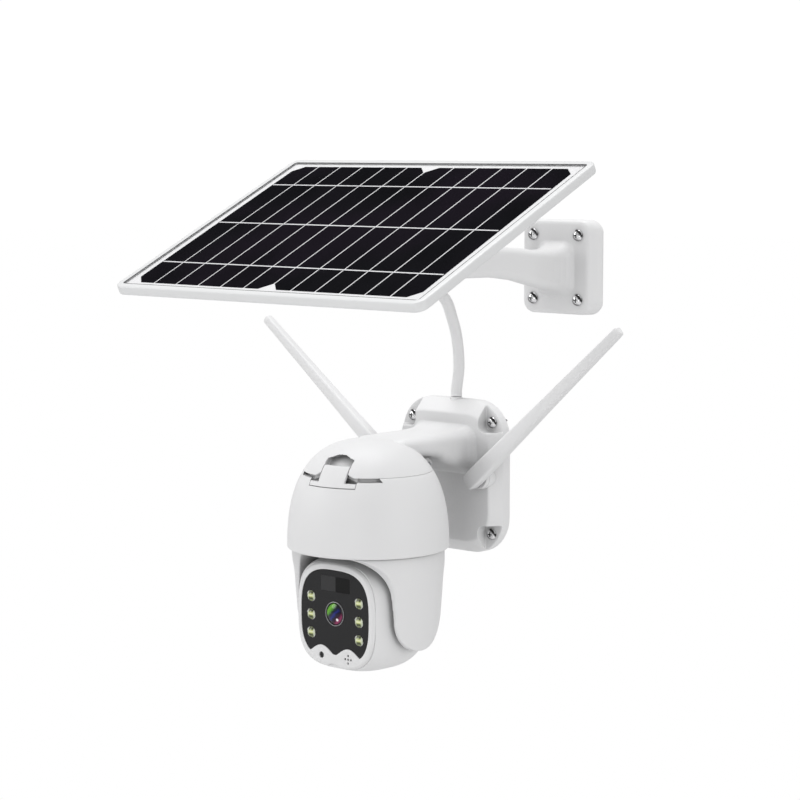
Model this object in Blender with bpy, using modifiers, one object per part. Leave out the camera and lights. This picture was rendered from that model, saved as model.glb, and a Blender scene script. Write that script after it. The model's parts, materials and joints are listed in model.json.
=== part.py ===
"""Solar-powered pan and tilt security camera, as an assembly of separate sub-parts.

Frame: metres, +Z up. The origin is the centre of the camera base's back face, on the wall.
+X is to the right for somebody facing the wall, and the camera looks along -Y.
Sizes below are in millimetres and are turned into metres by MM.
"""
from math import acos, cos, pi, radians, sin, sqrt

import bmesh
import bpy
from mathutils import Matrix, Vector

MM = 0.001
GAP = 0.3                          # clearance between neighbouring pieces

# ---- driving dimensions, mm -------------------------------------------------------------
BASE_HALF = (54.3, 63.5)           # camera base, half width and half height
BASE_RIM = 9.5                     # depth of the straight rim
BASE_DEPTH = 20.0
BASE_INSET = (7.3, 10.5)           # slope from the rim to the front face, across and up
BASE_CORNER = 31.0
BASE_WALL = 2.8
BASE_SCREWS = (42.6, 46.4)         # half spacing of the four wall screws
WALL_SCREW_TIP = 11.0              # how far behind the wall plane the screws end
POCKET_FROM = (36.0, 38.5)         # inner edges of the four corner pockets
POCKET_FLOOR = -9.2

DOME_Y = -114.7                    # dome axis
DOME_RIM_Z = -47.0
DOME_HEIGHT = 87.0
DOME_RADIUS = 65.0
DOME_POWER = 2.47
SEAM_Z = 14.8                      # joint between the fixed cap and the opening body
WALL_LOW, WALL_HIGH = 2.5, 4.0     # dome wall at the rim and above the seam

LATCH_ANGLE = radians(8.5)
LATCH_HALF = 12.0
LATCH_TOP_Z = 22.9
RECESS_FLOOR_R = 42.8               # the tongue moves straight down in front of it
LATCH_PIN = (48.9, 8.8)            # radius from the dome axis, and height
FINGER_SLOTS = ((-37.0, -20.0), (20.0, 37.0))    # spans to the left and right of the latch
HINGE_Y = DOME_Y + 56.4            # body hinge, behind the dome
HINGE_Z = 14.4

HEAD_Z = -98.0                     # tilt axis height
YOKE_RADIUS = 61.2
YOKE_TOP = -38.7
CHEEK_INNER = 50.3                 # half width between the cheeks
CHEEK_BOTTOM_R = 27.2
HEAD_RADII = (48.5, 49.5, 46.6)
HEAD_FRONT = (51.5, 60.0)          # radius along Y of the squarer front half: level, upright
HEAD_POWER = 3.0
FACE_Y = DOME_Y - 40.2             # front plane of the head
LENS_Z = HEAD_Z + 1.5
LED_X = 25.6
LED_Z = (HEAD_Z + 13.0, HEAD_Z - 1.7, HEAD_Z - 16.4)
BUMP = (14.3, HEAD_Z - 33.3, 8.2)  # microphone and speaker bosses: x, z, radius

ANTENNA_PIVOT = (41.3, 2.0)        # x and z of each pivot
ANTENNA_Y = -31.8
ANTENNA_LENGTH = 193.5
ANTENNA_ANGLE = {"left": -51.6, "right": 48.2}

PLATE_CENTRE = (108.4, 176.5)      # solar bracket's wall plate
PLATE_HALF = (34.0, 37.5)
PLATE_FLARE = (3.7, 5.3)           # at the wall: wider by, and bowed by
PLATE_DEPTH = 12.3
PLATE_SCREWS = (22.1, 25.5)

PANEL_TILT = radians(25.2)
PANEL_SIZE = (293.0, 213.0, 7.3)
PANEL_CORNER = 8.0
GLASS_SIZE = (283.0, 203.0)
PANEL_TOP = Vector((108.4, -253.8, 216.1))      # centre of the panel's top face
PIVOT_DROP = 28.0                  # tilt axis below the top face
CABLE_RADIUS = 4.6
CABLE_ENDS = ((1.6, -6.0, 65.2), (60.4, -229.1, 191.8))
CABLE_POINTS = [                   # route of the solar cable, base gland to junction box
    (1.6, -6.0, 70.4), (6.9, -9.3, 89.3), (14.6, -21.0, 113.5), (26.3, -41.5, 132.8),
    (41.8, -71.0, 152.4), (53.0, -110.0, 163.0), (58.6, -150.0, 164.0), (60.4, -185.0, 162.5),
    (60.4, -206.0, 164.0), (60.4, -220.5, 173.5), (60.4, -227.3, 188.0)]

# ---- scene and materials ----------------------------------------------------------------
for old in list(bpy.data.objects):
    bpy.data.objects.remove(old, do_unlink=True)

parts = bpy.data.collections.new("solar_camera")
cutters = bpy.data.collections.new("cutters")
for group in (parts, cutters):
    bpy.context.scene.collection.children.link(group)


def material(name, colour, roughness, metallic=0.0):
    mat = bpy.data.materials.new(name)
    mat.use_nodes = True
    shader = mat.node_tree.nodes["Principled BSDF"]
    shader.inputs["Base Color"].default_value = (*colour, 1.0)
    shader.inputs["Roughness"].default_value = roughness
    shader.inputs["Metallic"].default_value = metallic
    return mat


WHITE = material("white_plastic", (0.80, 0.80, 0.80), 0.38)
WHITE_FRAME = material("white_frame", (0.82, 0.83, 0.84), 0.3, 0.2)
BLACK = material("black_acrylic", (0.012, 0.012, 0.014), 0.12)
GREY = material("grey_plastic", (0.25, 0.25, 0.26), 0.5)
CELL = material("solar_cells", (0.012, 0.013, 0.03), 0.15)
GLASS = material("clear_glass", (0.9, 0.92, 0.95), 0.03)
CHROME = material("chrome_screw", (0.75, 0.75, 0.77), 0.15, 1.0)
STEEL = material("steel", (0.55, 0.56, 0.58), 0.3, 1.0)
BOARD = material("circuit_board", (0.02, 0.18, 0.07), 0.45)
RUBBER = material("black_rubber", (0.03, 0.03, 0.03), 0.8)
CABLE = material("cable_jacket", (0.68, 0.68, 0.68), 0.45)
BATTERY = material("battery_wrap", (0.05, 0.22, 0.45), 0.35)
LED = material("led", (0.75, 0.8, 0.55), 0.15)


# ---- modelling helpers, all in millimetres ----------------------------------------------
def add(name, mesh, mat, group=parts):
    mesh.materials.clear()
    if mat is not None:
        mesh.materials.append(mat)
    obj = bpy.data.objects.new(name, mesh)
    group.objects.link(obj)
    if group is cutters:
        obj.hide_render = True
        obj.display_type = "WIRE"
    return obj


def from_bmesh(name, bm, mat, group=parts):
    """Turns a millimetre bmesh into an object in metres."""
    bmesh.ops.scale(bm, vec=(MM, MM, MM), verts=bm.verts)
    bmesh.ops.recalc_face_normals(bm, faces=bm.faces)
    mesh = bpy.data.meshes.new(name)
    bm.to_mesh(mesh)
    bm.free()
    return add(name, mesh, mat, group)


def aim(centre, axis):
    """Matrix that takes +Z to the axis and the origin to the centre."""
    turn = Vector(axis).normalized().to_track_quat("Z", "Y").to_matrix().to_4x4()
    return Matrix.Translation(Vector(centre)) @ turn


def rod(name, start, end, r1, mat, r2=None, group=parts, sides=24):
    """Round bar or cone from start to end."""
    start, end = Vector(start), Vector(end)
    bm = bmesh.new()
    bmesh.ops.create_cone(
        bm, cap_ends=True, segments=sides, radius1=r1, radius2=r1 if r2 is None else r2,
        depth=(end - start).length, matrix=aim((start + end) / 2, end - start))
    return from_bmesh(name, bm, mat, group)


def block(name, low, high, mat, group=parts, bevel=0.0, turn=None):
    """Box between two corners; turn is a matrix applied last."""
    low, high = Vector(low), Vector(high)
    bm = bmesh.new()
    bmesh.ops.create_cube(bm, size=1.0)
    bmesh.ops.scale(bm, vec=high - low, verts=bm.verts)
    bmesh.ops.translate(bm, vec=(low + high) / 2, verts=bm.verts)
    if bevel:
        bmesh.ops.bevel(bm, geom=bm.edges[:], offset=bevel, segments=2, affect="EDGES", profile=0.5)
    if turn is not None:
        bmesh.ops.transform(bm, matrix=turn, verts=bm.verts)
    return from_bmesh(name, bm, mat, group)


def loft(name, sections, mat, group=parts):
    """Closed skin over loops that have the same number of points, with both ends capped."""
    bm = bmesh.new()
    loops = [[bm.verts.new(p) for p in section] for section in sections]
    for lower, upper in zip(loops, loops[1:]):
        for i in range(len(lower)):
            j = (i + 1) % len(lower)
            bm.faces.new((lower[i], lower[j], upper[j], upper[i]))
    bm.faces.new(loops[0][::-1])
    bm.faces.new(loops[-1])
    return from_bmesh(name, bm, mat, group)


def turned(name, profile, centre, mat, group=parts, steps=40):
    """Screw of a closed (radius, z) profile that runs down its outer side."""
    bm = bmesh.new()
    verts = [bm.verts.new((r * MM, 0, z * MM)) for r, z in profile]
    for a, b in zip(verts, verts[1:] + verts[:1]):
        if not (a.co.x < 1e-9 and b.co.x < 1e-9):
            bm.edges.new((a, b))
    mesh = bpy.data.meshes.new(name)
    bm.to_mesh(mesh)
    bm.free()
    obj = add(name, mesh, mat, group)
    obj.location = Vector(centre) * MM
    screw = obj.modifiers.new("turn", "SCREW")
    screw.steps = screw.render_steps = steps
    screw.use_merge_vertices = True
    screw.merge_threshold = 0.00001
    screw.use_smooth_shade = True
    return obj


def arc(cx, cy, radius, start, end, count):
    """Points of a circular arc, angles in degrees."""
    return [(cx + radius * cos(radians(start + (end - start) * i / count)),
             cy + radius * sin(radians(start + (end - start) * i / count)))
            for i in range(count + 1)]


def rounded_rect(half_w, half_h, radius, count=5):
    corners = ((1, 1, 0), (-1, 1, 90), (-1, -1, 180), (1, -1, 270))
    points = []
    for sx, sy, turn in corners:
        points += arc(sx * (half_w - radius), sy * (half_h - radius), radius, turn, turn + 90, count)
    return points


def superellipse(half_w, half_h, power, count=40, low=None):
    """Closed outline; low is the half height below the centre where it differs."""
    points = []
    for i in range(count):
        angle = 2 * pi * i / count
        c, s = cos(angle), sin(angle)
        height = half_h if s >= 0 or low is None else low
        reach = (abs(c) ** power + abs(s) ** power) ** (-1 / power)
        points.append((half_w * c * reach, height * s * reach))
    return points


def slab(name, outline, y_back, y_front, mat, group=parts, centre=(0.0, 0.0)):
    """Flat plate of an X-Z outline between two Y planes, from a filled 2D curve."""
    curve = bpy.data.curves.new(name, "CURVE")
    curve.dimensions = "2D"
    curve.fill_mode = "BOTH"
    curve.extrude = abs(y_back - y_front) / 2 * MM
    spline = curve.splines.new("POLY")
    spline.points.add(len(outline) - 1)
    for point, (x, z) in zip(spline.points, outline):
        point.co = (x * MM, z * MM, 0, 1)
    spline.use_cyclic_u = True
    place = (Matrix.Translation(Vector((centre[0], (y_back + y_front) / 2, centre[1])) * MM)
             @ Matrix.Rotation(radians(90), 4, "X"))
    return meshed(name, curve, place, mat, group)


def meshed(name, curve, place, mat, group):
    """Turns a curve into a mesh object with welded caps."""
    guide = bpy.data.objects.new(name + "_guide", curve)
    guide.matrix_world = place
    bpy.context.scene.collection.objects.link(guide)
    bpy.context.view_layer.update()
    graph = bpy.context.evaluated_depsgraph_get()
    mesh = bpy.data.meshes.new_from_object(guide.evaluated_get(graph))
    bpy.data.objects.remove(guide, do_unlink=True)
    bm = bmesh.new()
    bm.from_mesh(mesh)
    bmesh.ops.remove_doubles(bm, verts=bm.verts, dist=0.000005)
    bmesh.ops.recalc_face_normals(bm, faces=bm.faces)
    bm.to_mesh(mesh)
    bm.free()
    obj = add(name, mesh, mat, group)
    obj.matrix_world = place
    return obj


def combine(target, tool, operation="DIFFERENCE"):
    """Boolean of the target with a cutter object."""
    mod = target.modifiers.new(operation.lower(), "BOOLEAN")
    mod.operation = operation
    mod.solver = "EXACT"
    mod.object = tool
    return target


def weld(target):
    """Merges the doubled points that a chain of booleans can leave."""
    mod = target.modifiers.new("weld", "WELD")
    mod.merge_threshold = 0.000002


# ---- camera base, arm and cap: one moulding ---------------------------------------------
def dome_radius(z, offset=0.0):
    """Outer radius of the dome at height z, less a wall offset."""
    t = min(max((z - DOME_RIM_Z) / DOME_HEIGHT, 0.0), 1.0)
    return max(DOME_RADIUS * (1 - t ** DOME_POWER) ** (1 / DOME_POWER) - offset, 0.0)


def wall_at(z):
    t = min(max((z + 30) / 30, 0.0), 1.0)
    return WALL_LOW + (WALL_HIGH - WALL_LOW) * t * t * (3 - 2 * t)


def base_section(y, half_w, half_h, radius):
    return [(x, y, z) for x, z in rounded_rect(half_w, half_h, radius)]


def arm_section(y, half_w, z_low, z_high, radius):
    middle = (z_low + z_high) / 2
    return [(x, y, middle + z) for x, z in rounded_rect(half_w, (z_high - z_low) / 2, radius, 4)]


def dome_profile(z_top, z_bottom, offset_of, count):
    """Points down the dome's wall between two heights, closer together near the crown."""
    points = []
    for i in range(count + 1):
        t = (i / count) ** 0.8
        z = z_top + (z_bottom - z_top) * t
        points.append((dome_radius(z, offset_of(z)), z))
    return points


def crown(offset, bottom, count=10):
    """Profile of the closed top of the dome, shrunk by a wall thickness."""
    height = DOME_HEIGHT - offset
    radius = DOME_RADIUS - offset
    start = acos(min(1.0, (bottom - DOME_RIM_Z) / height))
    points = []
    for i in range(count + 1):
        angle = start * i / count
        z = height * cos(angle)
        r = radius * (1 - (z / height) ** DOME_POWER) ** (1 / DOME_POWER) if i else 0.0
        points.append((r, DOME_RIM_Z + z))
    return points


def latch_frame(radius, side, z):
    """Point in the latch's own frame: distance out from the dome axis, sideways, and up."""
    out = Vector((sin(LATCH_ANGLE), -cos(LATCH_ANGLE), 0))
    across = Vector((cos(LATCH_ANGLE), sin(LATCH_ANGLE), 0))
    return Vector((0, DOME_Y, z)) + out * radius + across * side


LATCH_TURN = Matrix.Translation((0, DOME_Y, 0)) @ Matrix.Rotation(LATCH_ANGLE, 4, "Z")


def latch_block(name, half, inner, outer, z_low, z_high, group=cutters):
    return block(name, (-half, -outer, z_low), (half, -inner, z_high), None, group, turn=LATCH_TURN)


def bracket_housing():
    """Hollow base, arm and dome cap."""
    hw, hh = BASE_HALF
    body = loft("bracket_housing", [
        base_section(0, hw, hh, BASE_CORNER),
        base_section(-BASE_RIM, hw, hh, BASE_CORNER),
        base_section(-BASE_DEPTH, hw - BASE_INSET[0], hh - BASE_INSET[1], BASE_CORNER - 7)], WHITE)
    arm = loft("arm_outer", [
        arm_section(-17.0, 36.5, 1.5, 45.5, 12),
        arm_section(-23.0, 31.5, 6.0, 42.0, 10),
        arm_section(-31.0, 28.0, 9.6, 39.6, 7),
        arm_section(-44.0, 27.1, 13.6, 39.0, 6),
        arm_section(-54.0, 27.0, 19.6, 39.0, 6),
        arm_section(-72.0, 27.0, 22.8, 39.0, 6),
        arm_section(-98.0, 26.5, 24.0, 38.6, 6),
        arm_section(-116.0, 18.0, 24.5, 36.0, 5)], None, cutters)
    seam = SEAM_Z + GAP / 2
    cap = turned("cap_outer", crown(0.0, seam) + [(0.0, seam)], (0, DOME_Y, 0), None, cutters)
    combine(body, arm, "UNION")
    combine(body, cap, "UNION")

    cavity = loft("base_cavity", [
        base_section(3.0, hw - BASE_WALL, hh - BASE_WALL, BASE_CORNER - BASE_WALL),
        base_section(-BASE_RIM + 0.8, hw - BASE_WALL, hh - BASE_WALL, BASE_CORNER - BASE_WALL),
        base_section(-BASE_DEPTH + BASE_WALL, hw - BASE_INSET[0] - BASE_WALL,
                     hh - BASE_INSET[1] - BASE_WALL, BASE_CORNER - 9)], None, cutters)
    arm_bore = loft("arm_bore", [
        arm_section(-15.0, 24.2, 16.4, 36.4, 4),
        arm_section(-48.0, 24.2, 22.3, 36.2, 4),
        arm_section(-72.0, 24.2, 26.0, 36.2, 4),
        arm_section(-98.0, 22.0, 26.8, 35.0, 4)], None, cutters)
    cap_cavity = turned("cap_cavity", crown(WALL_HIGH, SEAM_Z - 6) + [(0.0, SEAM_Z - 6)],
                        (0, DOME_Y, 0), None, cutters)
    keeper = latch_block("latch_keeper", 16.0, 34.0, 60.0, SEAM_Z - 8, 34.0)
    combine(cap_cavity, keeper)
    combine(cap_cavity, latch_block("keeper_top", 16.4, 22.0, 60.0, SEAM_Z + 4, 37.0))
    for sx in (1, -1):
        for sz in (1, -1):
            x, z = POCKET_FROM
            corner = block("pocket_wall", (sx * (x - 2.6), -40, sz * (z - 2.6)),
                           (sx * 90, POCKET_FLOOR + BASE_WALL, sz * 90), None, cutters)
            combine(cavity, fixed_sides(corner))
    for tool in (cavity, arm_bore, cap_cavity):
        combine(body, tool)

    for sx in (1, -1):
        for sz in (1, -1):
            x, z = POCKET_FROM
            outline = pocket_outline(sx, sz, x, z)
            combine(body, slab("corner_pocket", outline, POCKET_FLOOR, -40.0, None, cutters))
            combine(body, rod("screw_hole", (sx * BASE_SCREWS[0], 5, sz * BASE_SCREWS[1]),
                              (sx * BASE_SCREWS[0], -30, sz * BASE_SCREWS[1]), 2.6, None,
                              group=cutters, sides=16))
    combine(body, rod("cable_hole", (1.6, -6.0, 40), (1.6, -6.0, 80), 4.3, None, group=cutters))
    recess = latch_block("tongue_recess", LATCH_HALF + 0.4, 20.0, 70.0, SEAM_Z - 9, 30.4)
    steep = [(min(r, RECESS_FLOOR_R), z) for r, z in crown(5.0, 8.0)]
    floor = turned("recess_floor", steep + [(0.0, 8.0)], (0, DOME_Y, 0), None, cutters)
    combine(recess, floor)
    combine(body, recess)
    for side in (1, -1):
        lug = hinge_lug("cap_lug", side * 10.0, side * 16.0, True)
        combine(body, lug, "UNION")
    combine(body, rod("hinge_pin_hole", (-40, HINGE_Y, HINGE_Z), (40, HINGE_Y, HINGE_Z), 1.8, None,
                      group=cutters, sides=16))
    weld(body)
    return body


def fixed_sides(obj):
    """Makes a block whose corners were given in any order face outwards."""
    bm = bmesh.new()
    bm.from_mesh(obj.data)
    bmesh.ops.recalc_face_normals(bm, faces=bm.faces)
    bm.to_mesh(obj.data)
    bm.free()
    return obj


def pocket_outline(sx, sz, x, z):
    """Corner region with its inner corner rounded, as X-Z points."""
    radius = 6.0
    points = [(x, 90.0), (90.0, 90.0), (90.0, z)]
    points += [(x + radius - radius * sin(radians(a)), z + radius - radius * cos(radians(a)))
               for a in (0, 22.5, 45, 67.5, 90)]
    points = [(sx * px, sz * pz) for px, pz in points]
    return points if sx * sz > 0 else points[::-1]


def hinge_lug(name, x0, x1, upper):
    """Knuckle of the body hinge, with a web that reaches into the dome's wall."""
    low, high = min(x0, x1), max(x0, x1)
    if upper:
        outline = arc(0, 0, 4.2, -200, 70, 14) + [(-1.0, 5.4), (-12.0, 5.4), (-12.0, 1.4)]
    else:
        outline = arc(0, 0, 4.2, -70, 170, 14) + [(-6.5, -1.0), (-6.5, -6.5), (0.0, -6.5)]
    return loft(name, [[(x, HINGE_Y + y, HINGE_Z + z) for y, z in outline] for x in (low, high)], None, cutters)


def base_closing_parts():
    """Back plate, cable grommet and wall screws of the base."""
    hw, hh = BASE_HALF
    inset = BASE_WALL + GAP
    plate = slab("base_back_plate", rounded_rect(hw - inset, hh - inset, BASE_CORNER - inset), -2.4, 0.0, WHITE)
    for sx in (1, -1):
        for sz in (1, -1):
            x, z = sx * BASE_SCREWS[0], sz * BASE_SCREWS[1]
            combine(plate, rod("plate_hole", (x, 5, z), (x, -5, z), 2.6, None, group=cutters, sides=16))
    combine(plate, block("wire_slot", (-9, -5, -8), (9, 5, -2), None, cutters))
    combine(plate, rod("cable_relief", (1.6, -6.0, 40), (1.6, -6.0, 80), 6.4, None, group=cutters))
    turned("base_cable_gland", gland_profile(), (1.6, -6.0, 0), RUBBER, steps=24)
    names = ("top_right", "bottom_right", "top_left", "bottom_left")
    places = [(sx, sz) for sx in (1, -1) for sz in (1, -1)]
    for name, (sx, sz) in zip(names, places):
        wall_screw("camera_wall_screw_" + name, sx * BASE_SCREWS[0], sz * BASE_SCREWS[1], POCKET_FLOOR - GAP)


def gland_profile():
    """Grommet: a flange over the base's edge and a plug in its hole."""
    return [(0.0, 64.8), (5.6, 64.8), (5.8, 64.5), (5.8, 63.8), (3.9, 63.8), (3.9, 58.5), (0.0, 58.5)]


def wall_screw(name, x, z, y):
    """Pan-head screw with a cross recess, its shank going back into the wall."""
    head_r, head_h, shank_r, length = 4.65, 2.9, 2.1, WALL_SCREW_TIP - y
    profile = [(0.0, head_h)]
    profile += [(head_r * sin(radians(a)), head_h * cos(radians(a))) for a in (30, 55, 78)]
    profile += [(head_r, 0.0), (shank_r, 0.0), (shank_r, 3.0 - length), (0.0, -length)]
    screw = turned(name, profile, (0, 0, 0), CHROME, steps=14)
    screw.matrix_world = Matrix.Translation(Vector((x, y, z)) * MM) @ Matrix.Rotation(radians(90), 4, "X")
    for half_w, half_h in ((0.5, 2.3), (2.3, 0.5)):
        combine(screw, block("cross", (x - half_w, y - 6, z - half_h), (x + half_w, y - 1.7, z + half_h),
                             None, cutters))
    return screw


# ---- opening body of the dome -----------------------------------------------------------
def dome_shell():
    """Lower dome: open at the top and bottom, with the latch pocket and a hinge lug."""
    top = SEAM_Z - GAP / 2
    outer = dome_profile(top, DOME_RIM_Z + 1.2, lambda z: 0.0, 9) + [(DOME_RADIUS - 1.4, DOME_RIM_Z)]
    inner = dome_profile(top, DOME_RIM_Z, wall_at, 8)[::-1]
    shell = turned("dome_shell", outer + inner, (0, DOME_Y, 0), WHITE)
    keeper = latch_block("pocket_backing", 24.0, 38.0, 70.0, 1.0, SEAM_Z - GAP / 2 - 0.05)
    backing = turned("backing_limit", crown(0.4, 0.5) + [(0.0, 0.5)], (0, DOME_Y, 0), None, cutters)
    combine(keeper, backing, "INTERSECT")
    combine(shell, keeper, "UNION")
    pin_r, pin_z = LATCH_PIN
    rib = turned("slot_rib", [(51.6, top - 0.1), (57.6, 1.0), (54.8, 1.0), (44.6, top - 0.1)],
                 (0, DOME_Y, 0), None, cutters)
    combine(rib, latch_block("rib_limit", 41.0, 20.0, 70.0, -5.0, 20.0), "INTERSECT")
    combine(shell, rib, "UNION")
    combine(shell, latch_block("latch_pocket", 21.8, pin_r - 3.2, 70.0, pin_z - 2.1, SEAM_Z + 3))
    for low, high in FINGER_SLOTS:
        slot = block("finger_slot", (low, -70, 0), (high, -20, SEAM_Z + 4), None, cutters, turn=LATCH_TURN)
        ring = turned("slot_depth", [(48.0, 30.0), (80.0, 30.0), (80.0, -1.0), (48.0, 13.4)],
                      (0, DOME_Y, 0), None, cutters)
        combine(slot, ring, "INTERSECT")
        combine(shell, slot)
    combine(shell, hinge_lug("body_lug", -9.6, 9.6, False), "UNION")
    combine(shell, rod("body_pin_hole", (-40, HINGE_Y, HINGE_Z), (40, HINGE_Y, HINGE_Z), 1.8, None,
                       group=cutters, sides=16))
    latch_hole(shell)
    return shell


def latch_hole(shell):
    """Bore for the latch pin in the pocket's two ends."""
    pin_r, pin_z = LATCH_PIN
    combine(shell, rod("latch_pin_bore", latch_frame(pin_r, -23.6, pin_z), latch_frame(pin_r, 23.6, pin_z),
                       1.0, None, group=cutters, sides=12))


def latch_parts():
    """Snap lever on the front of the dome and the pin that it turns on."""
    pin_r, pin_z = LATCH_PIN
    tongue = turned("latch", crown(-0.3, 8.0) + crown(2.0, 8.0)[:0:-1] + [(0.0, crown(2.0, 8.0)[0][1])],
                    (0, DOME_Y, 0), WHITE, steps=64)
    combine(tongue, latch_block("tongue_limit", LATCH_HALF, 30.0, 70.0, pin_z + 1.5, LATCH_TOP_Z), "INTERSECT")
    barrel = rod("latch_barrel", latch_frame(pin_r, -21.3, pin_z), latch_frame(pin_r, 21.3, pin_z), 1.75,
                 None, group=cutters, sides=20)
    foot = latch_block("latch_foot", LATCH_HALF - 0.2, pin_r - 1.2, pin_r + 3.7, pin_z + 0.6, pin_z + 2.6)
    combine(tongue, foot, "UNION")
    combine(tongue, barrel, "UNION")
    combine(tongue, rod("latch_bore", latch_frame(pin_r, -30, pin_z), latch_frame(pin_r, 30, pin_z), 1.05,
                        None, group=cutters, sides=12))
    weld(tongue)
    rod("latch_pin", latch_frame(pin_r, -23.2, pin_z), latch_frame(pin_r, 23.2, pin_z), 0.75, STEEL, sides=12)


def body_internals():
    """Chassis, pan drive, battery and main board inside the opening body."""
    chassis = turned("chassis_plate", [(8.0, -33.6), (58.6, -33.6), (58.6, -36.0), (8.0, -36.0)],
                     (0, DOME_Y, 0), GREY)
    combine(chassis, block("wire_window", (20, DOME_Y + 26, -40), (34, DOME_Y + 40, -30), None, cutters))
    turned("pan_bearing", [(13.0, -36.3), (23.0, -36.3), (23.0, -38.4), (13.0, -38.4)],
           (0, DOME_Y, 0), STEEL, steps=32)
    turned("pan_motor", [(0.0, -14.4), (14.0, -14.4), (14.0, -33.3), (4.6, -33.3), (4.6, -31.2), (3.2, -31.2),
                         (3.2, -21.0), (0.0, -21.0)], (0, DOME_Y, 0), STEEL, steps=32)
    tray = block("battery_tray", (-36, DOME_Y - 31, -9.5), (36, DOME_Y + 31, -2.0), GREY)
    combine(tray, block("tray_inside", (-34.2, DOME_Y - 29.4, -7.7), (34.2, DOME_Y + 29.4, 2), None, cutters))
    for i, name in enumerate(("front", "middle", "rear")):
        y = DOME_Y + 19.4 * (i - 1)
        rod("battery_cell_" + name, (-32.5, y, 2.0), (32.5, y, 2.0), 9.2, BATTERY, sides=28)
    board = block("main_board", (-30, DOME_Y - 24, 12.2), (30, DOME_Y + 24, 13.6), BOARD)
    chips = ((-18, -12, 12, 12, 1.4), (10, 8, 16, 10, 2.4), (-20, 12, 8, 8, 3.0))
    for cx, cy, width, depth, height in chips:
        combine(board, block("chip", (cx - width / 2, DOME_Y + cy - depth / 2, 13.0),
                             (cx + width / 2, DOME_Y + cy + depth / 2, 13.6 + height), None, cutters), "UNION")
    slot = block("sim_card_slot", (3, DOME_Y - 20, 13.9), (19, DOME_Y - 4, 16.3), STEEL)
    combine(slot, block("card_gap", (5, DOME_Y - 30, 14.7), (17, DOME_Y - 6, 15.6), None, cutters))


def body_hinge():
    rod("body_hinge_pin", (-17.4, HINGE_Y, HINGE_Z), (17.4, HINGE_Y, HINGE_Z), 1.5, STEEL, sides=16)


# ---- pan yoke ---------------------------------------------------------------------------
def lobe_outline():
    """Side view of the yoke: full width at the top, narrowing to two round-ended cheeks."""
    right = [(70.0, -30.0), (70.0, -46.5)]
    count = 7
    for i in range(count + 1):
        u = i / count
        right.append((28.6 + 33.0 * (1 - sqrt(1 - (1 - u) ** 2)), -46.5 - 34.0 * u))
    bottom = arc(0, HEAD_Z + 0.7, CHEEK_BOTTOM_R, 0, -180, 14)
    left = [(-y, z) for y, z in right[::-1]]
    return right + bottom + left


def yoke():
    outer = [(0.0, YOKE_TOP), (56.0, YOKE_TOP), (57.6, YOKE_TOP - 1.5), (57.6, -46.0), (YOKE_RADIUS, -47.8),
             (YOKE_RADIUS + 0.4, -60.0), (YOKE_RADIUS - 0.2, -80.0), (YOKE_RADIUS - 1.4, -100.0),
             (YOKE_RADIUS - 3.6, -120.0), (YOKE_RADIUS - 5.5, -135.0), (0.0, -135.0)]
    body = turned("yoke", outer, (0, DOME_Y, 0), WHITE, steps=56)
    lobe = slab("lobe", lobe_outline(), -80, 80, None, cutters)
    lobe.matrix_world = (Matrix.Translation(Vector((0, DOME_Y, 0)) * MM) @ Matrix.Rotation(radians(90), 4, "Z")
                         @ Matrix.Rotation(radians(90), 4, "X"))
    combine(body, lobe, "INTERSECT")
    tunnel = [(x, z) for x, z in superellipse(CHEEK_INNER, 51.0, HEAD_POWER, 48) if z >= -0.01]
    tunnel += [(-CHEEK_INNER, -60.0), (CHEEK_INNER, -60.0)]
    combine(body, slab("tunnel", tunnel, DOME_Y + 90, DOME_Y - 90, None, cutters, centre=(0, HEAD_Z)))
    combine(body, turned("roof_pocket", [(26.0, -30.0), (54.8, -30.0), (54.8, -43.4), (26.0, -43.4)],
                         (0, DOME_Y, 0), None, cutters, steps=40))
    combine(body, rod("hub_bore", (0, DOME_Y, -60), (0, DOME_Y, -20), 3.0, None, group=cutters, sides=20))
    combine(body, rod("tilt_bore", (-55.5, DOME_Y, HEAD_Z), (55.5, DOME_Y, HEAD_Z), 3.3, None,
                      group=cutters, sides=20))
    rod("pan_shaft", (0, DOME_Y, -46.6), (0, DOME_Y, -22.0), 2.7, STEEL, sides=20)
    rod("tilt_shaft", (28.0, DOME_Y, HEAD_Z), (55.2, DOME_Y, HEAD_Z), 3.0, STEEL, sides=20)
    rod("tilt_trunnion", (-55.2, DOME_Y, HEAD_Z), (-40.0, DOME_Y, HEAD_Z), 3.0, STEEL, sides=20)


# ---- camera head ------------------------------------------------------------------------
def head_solid(name, shrink, mat, group, segments=32, rings=16):
    """Ball with a squarer front: a sphere primitive reshaped by a superellipsoid rule."""
    bm = bmesh.new()
    bmesh.ops.create_uvsphere(bm, u_segments=segments, v_segments=rings, radius=1.0,
                              matrix=Matrix.Rotation(radians(90), 4, "X"))
    a, back, c = (r - shrink for r in HEAD_RADII)
    for vert in bm.verts:
        x, y, z = vert.co
        across = (abs(x) ** HEAD_POWER + abs(z) ** HEAD_POWER) ** (1 / HEAD_POWER)
        power = HEAD_POWER if y < 0 else 2.0
        upright = (z / max(across, 0.001)) ** 2
        front = HEAD_FRONT[0] + (HEAD_FRONT[1] - HEAD_FRONT[0]) * upright
        b = front - shrink if y < 0 else back
        reach = (across ** power + abs(y) ** power) ** (-1 / power)
        vert.co = (a * x * reach, DOME_Y + b * y * reach, HEAD_Z + c * z * reach)
    return from_bmesh(name, bm, mat, group)


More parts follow.
